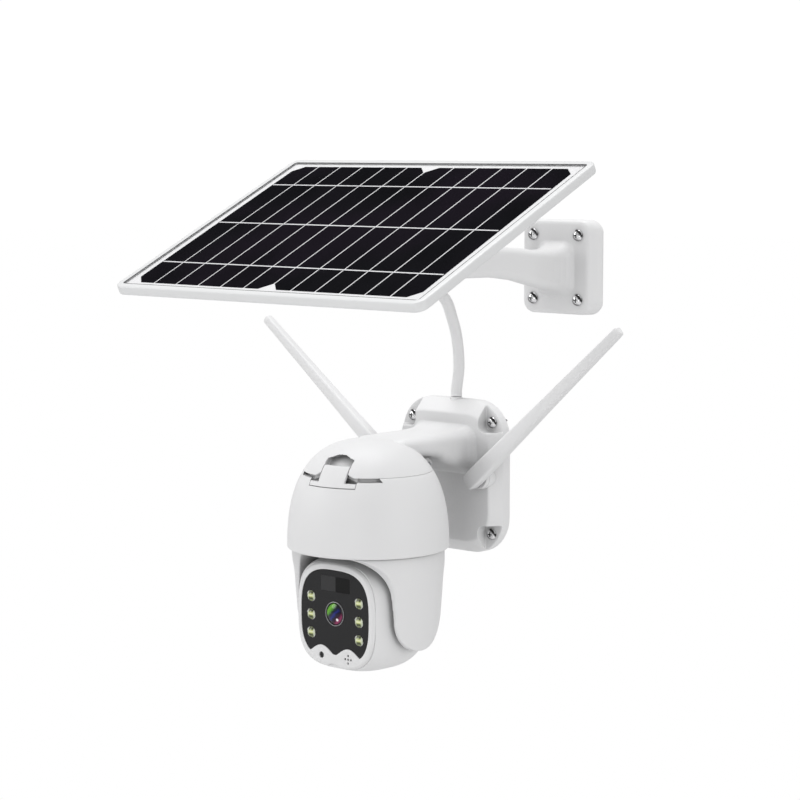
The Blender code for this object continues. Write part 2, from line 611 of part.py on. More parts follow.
def head_shells():
    shell = head_solid("head_shell", 0.0, WHITE, parts)
    combine(shell, head_solid("head_cavity", 2.6, None, cutters))
    combine(shell, block("head_front_cut", (-80, DOME_Y - 90, HEAD_Z - 80), (80, FACE_Y + 2.6, HEAD_Z + 80),
                         None, cutters))
    for side in (1, -1):
        combine(shell, rod("shaft_hole", (side * 30, DOME_Y, HEAD_Z), (side * 70, DOME_Y, HEAD_Z), 3.6,
                           None, group=cutters, sides=20))
    window_low = 33.2
    front = [(x, z) for x, z in superellipse(39.3, 40.6, 2.9, 48)]
    bezel = loft("head_bezel", [
        [(x * 1.035, FACE_Y + 2.3, HEAD_Z + z * 1.035) for x, z in front],
        [(x * 1.012, FACE_Y + 0.8, HEAD_Z + z * 1.012) for x, z in front],
        [(x, FACE_Y, HEAD_Z + z) for x, z in front]], WHITE)
    opening = slab("window_opening", superellipse(36.3, 36.7, HEAD_POWER, 48, window_low + 0.3),
                   FACE_Y + 8, FACE_Y - 8, None, cutters, centre=(0, HEAD_Z))
    for side in (1, -1):
        combine(opening, rod("bump", (side * BUMP[0], FACE_Y + 20, BUMP[1]),
                             (side * BUMP[0], FACE_Y - 20, BUMP[1]), BUMP[2], None, group=cutters))
    combine(bezel, opening)
    combine(bezel, rod("mic_hole", (-BUMP[0], FACE_Y + 9, BUMP[1]), (-BUMP[0], FACE_Y - 9, BUMP[1]), 2.1,
                       None, group=cutters, sides=16))
    for dx, dz in ((0, 0), (2.6, 0), (-2.6, 0), (0, 2.6), (0, -2.6)):
        combine(bezel, rod("sound_hole", (BUMP[0] + dx, FACE_Y + 9, BUMP[1] + dz),
                           (BUMP[0] + dx, FACE_Y - 9, BUMP[1] + dz), 0.7, None, group=cutters, sides=8))
    window = slab("face_window", superellipse(36.0, 36.4, HEAD_POWER, 48, window_low), FACE_Y + 2.6, FACE_Y + 0.6,
                  BLACK, centre=(0, HEAD_Z))
    for side in (1, -1):
        combine(window, rod("bump_clear", (side * BUMP[0], FACE_Y + 20, BUMP[1]),
                            (side * BUMP[0], FACE_Y - 20, BUMP[1]), BUMP[2] + GAP, None, group=cutters))
        for z in LED_Z:
            combine(window, rod("led_hole", (side * LED_X, FACE_Y + 9, z), (side * LED_X, FACE_Y - 9, z), 4.9,
                                None, group=cutters, sides=20))
    combine(window, rod("lens_hole", (0, FACE_Y + 9, LENS_Z), (0, FACE_Y - 9, LENS_Z), 11.2, None, group=cutters))
    combine(window, block("sensor_window", (-15.4, FACE_Y - 9, HEAD_Z + 19), (15.9, FACE_Y + 9, HEAD_Z + 31.4),
                          None, cutters))


def head_optics():
    y = FACE_Y
    turned_y("lens_barrel", [(0.0, -2.2), (8.6, -2.2), (9.4, 0.6), (10.9, 0.6), (10.9, -4.0), (9.8, -4.6),
                             (9.8, -15.0), (0.0, -15.0)], (0, y, LENS_Z), BLACK)
    turned_y("lens_glass", [(0.0, 1.3), (3.4, 1.0), (6.4, 0.2), (8.3, -1.2), (8.2, -1.9), (0.0, -1.9)],
             (0, y, LENS_Z), GLASS)
    block("sensor_board", (-16, y + 15.4, LENS_Z - 16), (16, y + 17.0, LENS_Z + 16), BOARD)
    board = slab("led_board", superellipse(33.0, 31.0, 4.0, 32), y + 5.4, y + 3.9, BOARD, centre=(0, HEAD_Z + 2))
    combine(board, rod("board_hole", (0, y + 20, LENS_Z), (0, y, LENS_Z), 11.6, None, group=cutters))
    combine(board, block("board_notch", (-24, y, HEAD_Z - 60), (24, y + 20, HEAD_Z - 22), None, cutters))
    for column, side in (("left", -1), ("right", 1)):
        for row, z in zip(("top", "middle", "bottom"), LED_Z):
            turned_y(f"led_{column}_{row}", [(0.0, 1.0), (2.6, 0.6), (4.3, -0.6), (4.5, -1.4), (4.5, -3.5),
                                             (0.0, -3.5)], (side * LED_X, y, z), LED, steps=14)
    block("pir_lens", (-15.1, y + 0.6, HEAD_Z + 19.3), (0.4, y + 3.4, HEAD_Z + 31.1), GREY)
    block("light_sensor_window", (0.7, y + 0.6, HEAD_Z + 19.3), (15.6, y + 3.4, HEAD_Z + 31.1), BLACK)
    turned_y("microphone", [(0.0, -1.2), (1.8, -1.2), (1.8, -5.5), (0.0, -5.5)], (-BUMP[0], y, BUMP[1]), RUBBER,
             steps=16)
    turned_y("speaker", [(0.0, -2.9), (6.8, -2.9), (6.8, -7.0), (4.0, -9.0), (0.0, -9.0)],
             (BUMP[0] - 2.5, y, BUMP[1] + 3.0), GREY, steps=24)
    motor = rod("tilt_motor", (17.0, DOME_Y, HEAD_Z), (36.0, DOME_Y, HEAD_Z), 14.0, STEEL, sides=32)
    combine(motor, rod("motor_bore", (27.0, DOME_Y, HEAD_Z), (40, DOME_Y, HEAD_Z), 3.4, None,
                       group=cutters, sides=20))


def turned_y(name, profile, centre, mat, steps=32):
    """Turned shape whose axis points out of the face, along -Y."""
    obj = turned(name, profile, (0, 0, 0), mat, steps=steps)
    obj.matrix_world = Matrix.Translation(Vector(centre) * MM) @ Matrix.Rotation(radians(90), 4, "X")
    return obj


# ---- antennas ---------------------------------------------------------------------------
def antenna(side, sign):
    """Round boss on the base and a tapering paddle that swings in a plane parallel to the wall."""
    x, z = sign * ANTENNA_PIVOT[0], ANTENNA_PIVOT[1]
    boss = rod("antenna_boss_" + side, (x, -BASE_DEPTH + 0.4, z), (x, ANTENNA_Y + 5.6, z), 9.5, WHITE, r2=8.6,
               sides=28)
    combine(boss, block("base_relief", (-90, -BASE_DEPTH - GAP, -90), (90, 10, 90), None, cutters))
    combine(boss, slope_clearance(sign))
    combine(boss, rod("boss_bore", (x, -40, z), (x, ANTENNA_Y + 9, z), 2.4, None, group=cutters, sides=16))
    angle = radians(ANTENNA_ANGLE[side])
    sections = []
    stations = ((-7.5, 5.6, 4.4), (-6.0, 6.6, 5.0), (4.0, 7.0, 5.2), (30.0, 6.6, 5.0), (90.0, 5.2, 4.4),
                (170.0, 4.0, 3.6), (187.0, 3.7, 3.4), (ANTENNA_LENGTH, 2.8, 2.6))
    for along, half_w, half_t in stations:
        sections.append([(u, ANTENNA_Y + v, along) for u, v in rounded_rect(half_w, half_t, min(half_w, half_t) * 0.45, 2)])
    place = Matrix.Translation((x, 0, z)) @ Matrix.Rotation(angle, 4, "Y")
    sections = [[place @ Vector(p) for p in section] for section in sections]
    blade = loft("antenna_" + side, sections, WHITE)
    pin = rod("antenna_stub", (x, ANTENNA_Y, z), (x, ANTENNA_Y + 8, z), 2.1, None, group=cutters, sides=16)
    combine(blade, pin, "UNION")
    return blade


def slope_clearance(sign):
    """Keeps the boss clear of the base's sloping side."""
    hw, hh = BASE_HALF
    return loft("base_keepout", [
        base_section(2, hw + GAP, hh + GAP, BASE_CORNER),
        base_section(-BASE_RIM - GAP, hw + GAP, hh + GAP, BASE_CORNER),
        base_section(-BASE_DEPTH - GAP, hw - BASE_INSET[0] + GAP, hh - BASE_INSET[1] + GAP, BASE_CORNER - 7)],
        None, cutters)


# ---- solar bracket ----------------------------------------------------------------------
PANEL_NORMAL = Vector((0, -sin(PANEL_TILT), cos(PANEL_TILT)))
PANEL_FRAME = Matrix.Translation(PANEL_TOP) @ Matrix.Rotation(PANEL_TILT, 4, "X")
PIVOT = PANEL_TOP - PANEL_NORMAL * PIVOT_DROP


def plate_section(y, inset, wider=0.0, bowed=1.5):
    """Wall plate outline with sides that bow out a little."""
    hw, hh = PLATE_HALF[0] - inset + wider, PLATE_HALF[1] - inset
    points = []
    for x, z in rounded_rect(hw - 1.5, hh, 9 - inset * 0.5, 4):
        bow = bowed * (1 - (z / hh) ** 2)
        points.append((PLATE_CENTRE[0] + x + (bow if x > 0 else -bow), y, PLATE_CENTRE[1] + z))
    return points


def solar_bracket():
    cx = PLATE_CENTRE[0]
    body = loft("solar_bracket", [plate_section(0, 0, *PLATE_FLARE), plate_section(-PLATE_DEPTH + 3.0, 0),
                                  plate_section(-PLATE_DEPTH, 2.6)], WHITE)

    def section(y, half_w, z_low, z_high):
        middle = (z_low + z_high) / 2
        return [(cx + x, y, middle + z) for x, z in
                rounded_rect(half_w, (z_high - z_low) / 2, min(half_w, 10) * 0.6, 4)]

    arm = loft("solar_arm", [
        section(-8.0, 21.0, 151.0, 197.0), section(-14.0, 16.5, 155.5, 193.5), section(-22.0, 13.0, 158.6, 191.4),
        section(-38.0, 11.2, 161.8, 190.6), section(-66.0, 11.0, 168.0, 193.2), section(-88.0, 11.0, 170.8, 195.0),
        section(-104.0, 11.0, 172.0, 195.8), section(-141.0, 11.0, 172.6, 196.4), section(-200.0, 11.0, 176.0, 197.0),
        section(-222.0, 11.0, 178.5, 198.0), section(-229.8, 8.0, 180.0, 199.0),
        section(-236.0, 8.0, 181.6, 200.0)], None, cutters)
    knuckle = rod("arm_knuckle", (cx - 8.0, PIVOT.y, PIVOT.z), (cx + 8.0, PIVOT.y, PIVOT.z), 10.5, None,
                  group=cutters, sides=32)
    combine(body, arm, "UNION")
    combine(body, knuckle, "UNION")
    combine(body, rod("tilt_bolt_bore", (cx - 20, PIVOT.y, PIVOT.z), (cx + 20, PIVOT.y, PIVOT.z), 2.9, None,
                      group=cutters, sides=20))
    hollow = [plate_section(4.0, 3.0), plate_section(-PLATE_DEPTH + 5.4, 3.0)]
    recess = loft("plate_hollow", hollow, None, cutters)
    for sx in (1, -1):
        for sz in (1, -1):
            x, z = PLATE_CENTRE[0] + sx * PLATE_SCREWS[0], PLATE_CENTRE[1] + sz * PLATE_SCREWS[1]
            combine(recess, rod("screw_post", (x, 9, z), (x, -20, z), 5.6, None, group=cutters))
    for cut in (((-40, -3.0), (40, 3.0)), ((-3.0, -40), (3.0, 40))):
        (x0, z0), (x1, z1) = cut
        combine(recess, block("plate_rib", (cx + x0, -20, PLATE_CENTRE[1] + z0),
                              (cx + x1, 9, PLATE_CENTRE[1] + z1), None, cutters))
    combine(body, recess)
    index = 0
    names = ("top_right", "bottom_right", "top_left", "bottom_left")
    for sx in (1, -1):
        for sz in (1, -1):
            x, z = PLATE_CENTRE[0] + sx * PLATE_SCREWS[0], PLATE_CENTRE[1] + sz * PLATE_SCREWS[1]
            combine(body, rod("plate_screw_hole", (x, 5, z), (x, -30, z), 2.6, None, group=cutters, sides=16))
            wall_screw("solar_wall_screw_" + names[index], x, z, -PLATE_DEPTH - GAP)
            index += 1
    return body


# ---- solar panel ------------------------------------------------------------------------
def in_panel(obj):
    """Moves an object modelled flat, with its top centre at the origin, onto the panel."""
    place = Matrix.Translation(PANEL_TOP * MM) @ Matrix.Rotation(PANEL_TILT, 4, "X")
    obj.matrix_world = place @ obj.matrix_basis
    return obj


def flat_slab(name, outline, z_top, z_bottom, mat, group=parts):
    """Plate in the panel's own plane: X across, Y up the slope, Z out of the glass."""
    curve = bpy.data.curves.new(name, "CURVE")
    curve.dimensions = "2D"
    curve.fill_mode = "BOTH"
    curve.extrude = (z_top - z_bottom) / 2 * MM
    spline = curve.splines.new("POLY")
    spline.points.add(len(outline) - 1)
    for point, (x, y) in zip(spline.points, outline):
        point.co = (x * MM, y * MM, 0, 1)
    spline.use_cyclic_u = True
    obj = meshed(name, curve, Matrix.Translation((0, 0, (z_top + z_bottom) / 2 * MM)), mat, group)
    return in_panel(obj)


def solar_panel():
    width, height, depth = PANEL_SIZE
    frame = flat_slab("panel_frame", rounded_rect(width / 2, height / 2, PANEL_CORNER), 0.0, -depth, WHITE_FRAME)
    bevel = frame.modifiers.new("soft_edges", "BEVEL")
    bevel.width = 1.2 * MM
    bevel.segments = 2
    bevel.limit_method = "ANGLE"
    bevel.angle_limit = radians(60)
    gw, gh = GLASS_SIZE
    opening = flat_slab("frame_opening", rounded_rect(gw / 2, gh / 2, 1.0, 2), 10, -depth - 10, None, cutters)
    pocket = flat_slab("frame_pocket", rounded_rect(gw / 2 + 2.4, gh / 2 + 2.4, 1.0, 2), -1.2, -depth - 10, None,
                       cutters)
    combine(frame, opening)
    combine(frame, pocket)
    edge = 2.4 - GAP
    flat_slab("panel_glass", rounded_rect(gw / 2 + edge, gh / 2 + edge, 1.0, 2), -1.5, -4.0, GLASS)
    flat_slab("cell_laminate", rounded_rect(gw / 2 + edge, gh / 2 + edge, 1.0, 2), -4.3, -6.9, CELL)

    box = block("junction_box", (-70, -8, -22.0), (-26, 32, -7.2), BLACK, bevel=1.5)
    in_panel(box)
    gland = turned("junction_gland", [(0.0, -22.3), (6.6, -22.3), (6.6, -27.0), (5.6, -28.0), (5.2, -32.0),
                                      (0.0, -32.0)], (-48.0, 12.0, 0), RUBBER, steps=24)
    in_panel(gland)

    mount = block("panel_mount", (-24, -24, -11.0), (24, 24, -7.2), WHITE)
    in_panel(mount)
    for side in (1, -1):
        inner, outer = side * (8.0 + GAP), side * 13.0
        ear = block("mount_ear", (min(inner, outer), -10.5, -PIVOT_DROP), (max(inner, outer), 10.5, -9.0), None,
                    cutters)
        in_panel(ear)
        cheek = rod("ear_round", (PIVOT.x + inner, PIVOT.y, PIVOT.z), (PIVOT.x + outer, PIVOT.y, PIVOT.z), 10.5,
                    None, group=cutters, sides=32)
        combine(mount, ear, "UNION")
        combine(mount, cheek, "UNION")
    combine(mount, rod("ear_bore", (PIVOT.x - 20, PIVOT.y, PIVOT.z), (PIVOT.x + 20, PIVOT.y, PIVOT.z), 2.9, None,
                       group=cutters, sides=20))
    bolt = rod("tilt_bolt", (PIVOT.x - 17.0, PIVOT.y, PIVOT.z), (PIVOT.x - 13.3, PIVOT.y, PIVOT.z), 5.0, STEEL,
               sides=6)
    combine(bolt, rod("bolt_shank", (PIVOT.x - 15.0, PIVOT.y, PIVOT.z), (PIVOT.x + 19.0, PIVOT.y, PIVOT.z), 2.6,
                      None, group=cutters, sides=20), "UNION")
    knob = rod("tilt_knob", (PIVOT.x + 13.3, PIVOT.y, PIVOT.z), (PIVOT.x + 23.0, PIVOT.y, PIVOT.z), 8.6, BLACK,
               sides=32)
    for i in range(6):
        angle = pi / 3 * i
        y, z = PIVOT.y + 9.9 * cos(angle), PIVOT.z + 9.9 * sin(angle)
        combine(knob, rod("knob_flute", (PIVOT.x + 10, y, z), (PIVOT.x + 30, y, z), 2.6, None, group=cutters,
                          sides=12))
    combine(knob, rod("knob_bore", (PIVOT.x + 10, PIVOT.y, PIVOT.z), (PIVOT.x + 20.0, PIVOT.y, PIVOT.z), 2.9,
                      None, group=cutters, sides=20))


# ---- solar cable ------------------------------------------------------------------------
def smooth_route(points, count):
    """Evenly spaced points on a smooth curve through the route (centripetal Catmull-Rom)."""
    pts = [Vector(p) for p in points]
    pts = [pts[0] * 2 - pts[1]] + pts + [pts[-1] * 2 - pts[-2]]
    fine = []
    for p0, p1, p2, p3 in zip(pts, pts[1:], pts[2:], pts[3:]):
        t1 = (p1 - p0).length ** 0.5
        t2 = t1 + (p2 - p1).length ** 0.5
        t3 = t2 + (p3 - p2).length ** 0.5
        for i in range(20):
            t = t1 + (t2 - t1) * i / 20
            a1 = p0 * ((t1 - t) / t1) + p1 * (t / t1)
            a2 = p1 * ((t2 - t) / (t2 - t1)) + p2 * ((t - t1) / (t2 - t1))
            a3 = p2 * ((t3 - t) / (t3 - t2)) + p3 * ((t - t2) / (t3 - t2))
            b1 = a1 * ((t2 - t) / t2) + a2 * (t / t2)
            b2 = a2 * ((t3 - t) / (t3 - t1)) + a3 * ((t - t1) / (t3 - t1))
            fine.append(b1 * ((t2 - t) / (t2 - t1)) + b2 * ((t - t1) / (t2 - t1)))
    fine.append(pts[-2])
    lengths = [0.0]
    for a, b in zip(fine, fine[1:]):
        lengths.append(lengths[-1] + (b - a).length)
    even, k = [], 0
    for i in range(count):
        goal = lengths[-1] * i / (count - 1)
        while k < len(fine) - 2 and lengths[k + 1] < goal:
            k += 1
        share = (goal - lengths[k]) / (lengths[k + 1] - lengths[k])
        even.append(fine[k].lerp(fine[k + 1], share))
    return even


def solar_cable():
    curve = bpy.data.curves.new("solar_cable", "CURVE")
    curve.dimensions = "3D"
    curve.bevel_depth = CABLE_RADIUS * MM
    curve.bevel_resolution = 3
    curve.use_fill_caps = True
    spline = curve.splines.new("POLY")
    points = [Vector(CABLE_ENDS[0])] + smooth_route(CABLE_POINTS, 18) + [Vector(CABLE_ENDS[1])]
    spline.points.add(len(points) - 1)
    for point, place in zip(spline.points, points):
        point.co = (*(place * MM), 1)
    obj = bpy.data.objects.new("solar_cable", curve)
    curve.materials.append(CABLE)
    parts.objects.link(obj)


bracket_housing()
base_closing_parts()
dome_shell()
latch_parts()
body_internals()
body_hinge()
yoke()
head_shells()
head_optics()
antenna("left", -1)
antenna("right", 1)
solar_bracket()
solar_panel()
solar_cable()
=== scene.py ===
"""Looks of the solar-powered security camera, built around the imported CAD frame.

Everything is in the row frame: +X right, -Y out of the wall, +Z up. Shapes are worked out in
millimetres and turned into metres by MM. Hidden inner parts keep their CAD shape and get a finish.
"""

import json
from math import acos, atan2, cos, pi, radians, sin, sqrt

import bmesh
import bpy
from mathutils import Matrix, Vector


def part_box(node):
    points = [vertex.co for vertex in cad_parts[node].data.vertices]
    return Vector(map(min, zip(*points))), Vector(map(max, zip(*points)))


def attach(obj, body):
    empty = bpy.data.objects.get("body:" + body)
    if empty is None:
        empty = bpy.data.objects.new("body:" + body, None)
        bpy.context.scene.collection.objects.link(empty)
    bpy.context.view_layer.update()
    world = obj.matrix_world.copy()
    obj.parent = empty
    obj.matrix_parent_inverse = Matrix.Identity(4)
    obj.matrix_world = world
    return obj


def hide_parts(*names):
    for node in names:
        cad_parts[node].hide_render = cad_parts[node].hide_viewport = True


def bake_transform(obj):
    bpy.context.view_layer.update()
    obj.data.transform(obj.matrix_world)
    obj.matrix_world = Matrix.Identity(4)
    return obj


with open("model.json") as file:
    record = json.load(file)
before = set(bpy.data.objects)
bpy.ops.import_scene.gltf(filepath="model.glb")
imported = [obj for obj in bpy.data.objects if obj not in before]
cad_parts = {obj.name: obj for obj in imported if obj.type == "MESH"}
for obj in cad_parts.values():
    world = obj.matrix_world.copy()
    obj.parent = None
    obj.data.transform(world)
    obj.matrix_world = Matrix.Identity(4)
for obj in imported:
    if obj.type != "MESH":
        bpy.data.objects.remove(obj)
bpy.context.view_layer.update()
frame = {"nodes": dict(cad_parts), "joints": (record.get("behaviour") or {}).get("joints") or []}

MM = 0.001


def centre_of(node):
    low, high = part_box(node)
    return (low + high) / 2 / MM


def corner_of(node, which):
    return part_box(node)[which] / MM


# ---- places taken from the frame, mm ------------------------------------------------------
JOINTS = {joint["name"]: joint for joint in frame["joints"]}


def joint_place(name):
    return Vector(JOINTS[name]["pos_m"]) / MM


TILT_AXIS = joint_place("tilt")
DOME_Y = TILT_AXIS.y
HEAD_Z = TILT_AXIS.z
PANEL_PIVOT = joint_place("panel_tilt")
HINGE = joint_place("body_hinge")
LATCH_AXIS = joint_place("latch_hinge")
LATCH_ANGLE = atan2(JOINTS["latch_hinge"]["axis"][1], JOINTS["latch_hinge"]["axis"][0])
FACE_Y = corner_of("head_bezel", 0).y
LENS = Vector((0, FACE_Y, centre_of("lens_barrel").z))
DOME_RIM_Z = corner_of("dome_shell", 0).z
DOME_RADIUS = corner_of("dome_shell", 1).x
DOME_HEIGHT = 87.0
DOME_POWER = 2.47
SEAM_Z = 14.8
PANEL_TILT = radians(25.2)
PANEL_BORE = 2.9
PANEL_TOP = PANEL_PIVOT + Vector((0, -sin(PANEL_TILT), cos(PANEL_TILT))) * 28.0
PANEL_PLACE = Matrix.Translation(PANEL_TOP) @ Matrix.Rotation(PANEL_TILT, 4, "X")


# ---- camera, lights and floor -------------------------------------------------------------
def new_object(name, data):
    obj = bpy.data.objects.new(name, data)
    bpy.context.scene.collection.objects.link(obj)
    return obj


def scene_camera():
    azimuth, elevation = radians(40.98868), radians(6.33040)
    data = bpy.data.cameras.new("view")
    data.lens = 102.583
    data.sensor_width = 36.0
    camera = new_object("view", data)
    camera.location = (1.2037, -1.4611, 0.2710)
    camera.rotation_euler = (pi / 2 - elevation, 0, azimuth)
    bpy.context.scene.camera = camera


def area_light(name, place, target, size, power):
    data = bpy.data.lights.new(name, "AREA")
    data.shape = "DISK"
    data.size = size
    data.energy = power
    light = new_object(name, data)
    light.location = place
    light.rotation_euler = (Vector(target) - Vector(place)).to_track_quat("-Z", "Y").to_euler()


def new_material(name):
    mat = bpy.data.materials.new(name)
    mat.use_nodes = True
    return mat


def add(mat, kind, values=None, **settings):
    """New shader node with its settings and its inputs, which are plain values or sockets."""
    node = mat.node_tree.nodes.new("ShaderNode" + kind)
    for key, value in settings.items():
        setattr(node, key, value)
    for key, value in (values or {}).items():
        if isinstance(value, bpy.types.NodeSocket):
            mat.node_tree.links.new(value, node.inputs[key])
        else:
            node.inputs[key].default_value = value
    return node


def seen_white(mat_or_world, output, plain, strength):
    """Shows a plain white to the camera while light bounces off the plain shader as usual."""
    kind = "Background" if output == "World Output" else "Emission"
    white = add(mat_or_world, kind, {"Color": (1, 1, 1, 1), "Strength": strength})
    ray = add(mat_or_world, "LightPath")
    mix = add(mat_or_world, "MixShader", {0: ray.outputs["Is Camera Ray"], 1: plain, 2: white.outputs[0]})
    tree = mat_or_world.node_tree
    tree.links.new(mix.outputs["Shader"], tree.nodes[output].inputs["Surface"])


def studio():
    world = bpy.data.worlds.new("studio")
    world.use_nodes = True
    sky = world.node_tree.nodes["Background"]
    sky.inputs["Color"].default_value = (1.0, 1.0, 1.0, 1)
    sky.inputs["Strength"].default_value = 0.58
    seen_white(world, "World Output", sky.outputs["Background"], 1.02)
    bpy.context.scene.world = world
    bpy.context.scene.view_settings.view_transform = "Standard"

    middle = (0.03, -0.12, 0.0)
    area_light("top", (-0.3, 0.0, 2.2), middle, 1.4, 26.0)
    area_light("left", (-1.6, -1.8, 0.7), middle, 1.2, 13.0)
    area_light("right", (2.2, -0.3, 0.5), middle, 1.0, 9.0)
    area_light("front", (0.35, -0.95, 0.1), (0.0, -0.115, 0.0), 0.5, 0.8)

    mesh = bpy.data.meshes.new("floor")
    bm = bmesh.new()
    bmesh.ops.create_grid(bm, x_segments=8, y_segments=8, size=14.0)
    bm.to_mesh(mesh)
    bm.free()
    floor = new_object("floor", mesh)
    floor.location = (0, 0, -0.42)
    pale = new_material("floor_pale")
    shader = pale.node_tree.nodes["Principled BSDF"]
    shader.inputs["Base Color"].default_value = (0.72, 0.72, 0.72, 1)
    shader.inputs["Roughness"].default_value = 0.9
    seen_white(pale, "Material Output", shader.outputs["BSDF"], 1.0)
    mesh.materials.append(pale)


# ---- procedural materials -----------------------------------------------------------------
def calc(mat, operation, *values):
    """Math node over sockets or numbers; gives its output socket."""
    return add(mat, "Math", dict(enumerate(values)), operation=operation).outputs["Value"]


def distance(mat, x, z):
    """Length of an (x, z) step."""
    squares = calc(mat, "MULTIPLY", x, x), calc(mat, "MULTIPLY", z, z)
    return calc(mat, "SQRT", calc(mat, "ADD", *squares))


def fade(mat, value, start, end):
    """Smooth step from 0 at start to 1 at end."""
    return add(mat, "MapRange", {"Value": value, "From Min": start, "From Max": end},
               interpolation_type="SMOOTHSTEP").outputs["Result"]


def blend_colour(mat, factor, first, second):
    """Colour between two sockets or plain colours."""
    values = {"Factor": factor}
    for key, value in (("A", first), ("B", second)):
        values[key] = (*value, 1) if isinstance(value, tuple) else value
    return add(mat, "Mix", values, data_type="RGBA").outputs["Result"]


def ramp(mat, value, stops):
    node = add(mat, "ValToRGB", {"Fac": value})
    node.color_ramp.elements.remove(node.color_ramp.elements[1])
    for i, (place, colour) in enumerate(stops):
        element = node.color_ramp.elements[0] if i == 0 else node.color_ramp.elements.new(place)
        element.position = place
        element.color = (*colour, 1)
    return node.outputs["Color"]


def coords(mat, kind="Object"):
    return add(mat, "TexCoord").outputs[kind]


def own_coords(mat):
    """The piece's own X, Y and Z in millimetres."""
    split = add(mat, "SeparateXYZ", {"Vector": coords(mat)})
    return [calc(mat, "MULTIPLY", split.outputs[axis], 1000.0) for axis in "XYZ"]


def wander(mat, scale, amount):
    """Noise centred on zero."""
    noise = add(mat, "TexNoise", {"Vector": coords(mat), "Scale": scale})
    return calc(mat, "MULTIPLY", calc(mat, "SUBTRACT", noise.outputs["Fac"], 0.5), amount)


def painted(mat):
    """The socket that gives a material its colour now."""
    return mat.node_tree.nodes["Principled BSDF"].inputs["Base Color"].links[0].from_socket


def paint(mat, colour):
    mat.node_tree.links.new(colour, mat.node_tree.nodes["Principled BSDF"].inputs["Base Color"])
    return mat


def surface(name, colour, roughness, metallic=0.0, spread=0.04, rough_spread=0.06,
            grain=500.0, bump=0.15, depth=0.00003, stretch=(1, 1, 1), gloss=0.5):
    """Principled material with a noise-driven colour, roughness and fine bump."""
    mat = new_material(name)
    links = mat.node_tree.links
    inputs = mat.node_tree.nodes["Principled BSDF"].inputs
    inputs["Metallic"].default_value = metallic
    inputs["Specular IOR Level"].default_value = gloss
    place = add(mat, "Mapping", {"Vector": coords(mat), "Scale": stretch}).outputs["Vector"]
    broad = add(mat, "TexNoise", {"Vector": place, "Scale": 18.0, "Detail": 2.0}).outputs["Fac"]
    fine = add(mat, "TexNoise", {"Vector": place, "Scale": grain, "Detail": 3.0}).outputs["Fac"]
    dull = tuple(c * (1 - spread) for c in colour)
    bright = tuple(min(1.0, c * (1 + spread)) for c in colour)
    paint(mat, blend_colour(mat, broad, dull, bright))
    rough = add(mat, "MapRange", {"Value": fine, "To Min": max(0.02, roughness - rough_spread),
                                  "To Max": min(1.0, roughness + rough_spread)})
    links.new(rough.outputs["Result"], inputs["Roughness"])
    relief = add(mat, "Bump", {"Strength": bump, "Distance": depth, "Height": fine})
    links.new(relief.outputs["Normal"], inputs["Normal"])
    return mat


def clear(name, tint):
    """Clear cover that lets the light through."""
    mat = new_material(name)
    nodes = mat.node_tree.nodes
    nodes.remove(nodes["Principled BSDF"])
    through = add(mat, "BsdfTransparent", {"Color": (*tint, 1)})
    mat.node_tree.links.new(through.outputs["BSDF"], nodes["Material Output"].inputs["Surface"])
    return mat


def shade_crevices(mat, reach, darkest):
    """Darkens the paint where other surfaces stand close to it."""
    open_sky = add(mat, "AmbientOcclusion", {"Distance": reach}, samples=8)
    amount = calc(mat, "MULTIPLY_ADD", open_sky.outputs["AO"], 1.0 - darkest, darkest)
    return paint(mat, blend_colour(mat, amount, (0.0, 0.0, 0.0), painted(mat)))


def plating_with_painted_reflections():
    """Bright plating with dark and light stripes painted by facing direction: painted reflections, as a
    polished dome shows them.
    """
    mat = surface("plating_painted_reflections", (0.8, 0.8, 0.82), 0.18, 0.85, spread=0.05, rough_spread=0.05,
                  grain=800.0, bump=0.03)
    facing = add(mat, "SeparateXYZ", {"Vector": coords(mat, "Normal")})
    tilt = calc(mat, "MULTIPLY_ADD", facing.outputs["X"], 0.28, 0.5)
    level = calc(mat, "MULTIPLY_ADD", facing.outputs["Z"], 0.34, tilt)
    # painted reflections: dark and light stripes picked by which way the surface faces
    painted_reflection_bands = ramp(mat, calc(mat, "ADD", level, wander(mat, 500.0, 0.08)), [
        (0.0, (0.25, 0.25, 0.26)), (0.16, (0.8, 0.8, 0.8)), (0.27, (0.05, 0.05, 0.05)),
        (0.38, (0.55, 0.55, 0.56)), (0.50, (0.92, 0.92, 0.93)), (0.60, (0.85, 0.85, 0.86)),
        (0.68, (0.02, 0.02, 0.02)), (0.80, (0.03, 0.03, 0.03)), (0.90, (0.85, 0.85, 0.86))])
    return paint(mat, painted_reflection_bands)


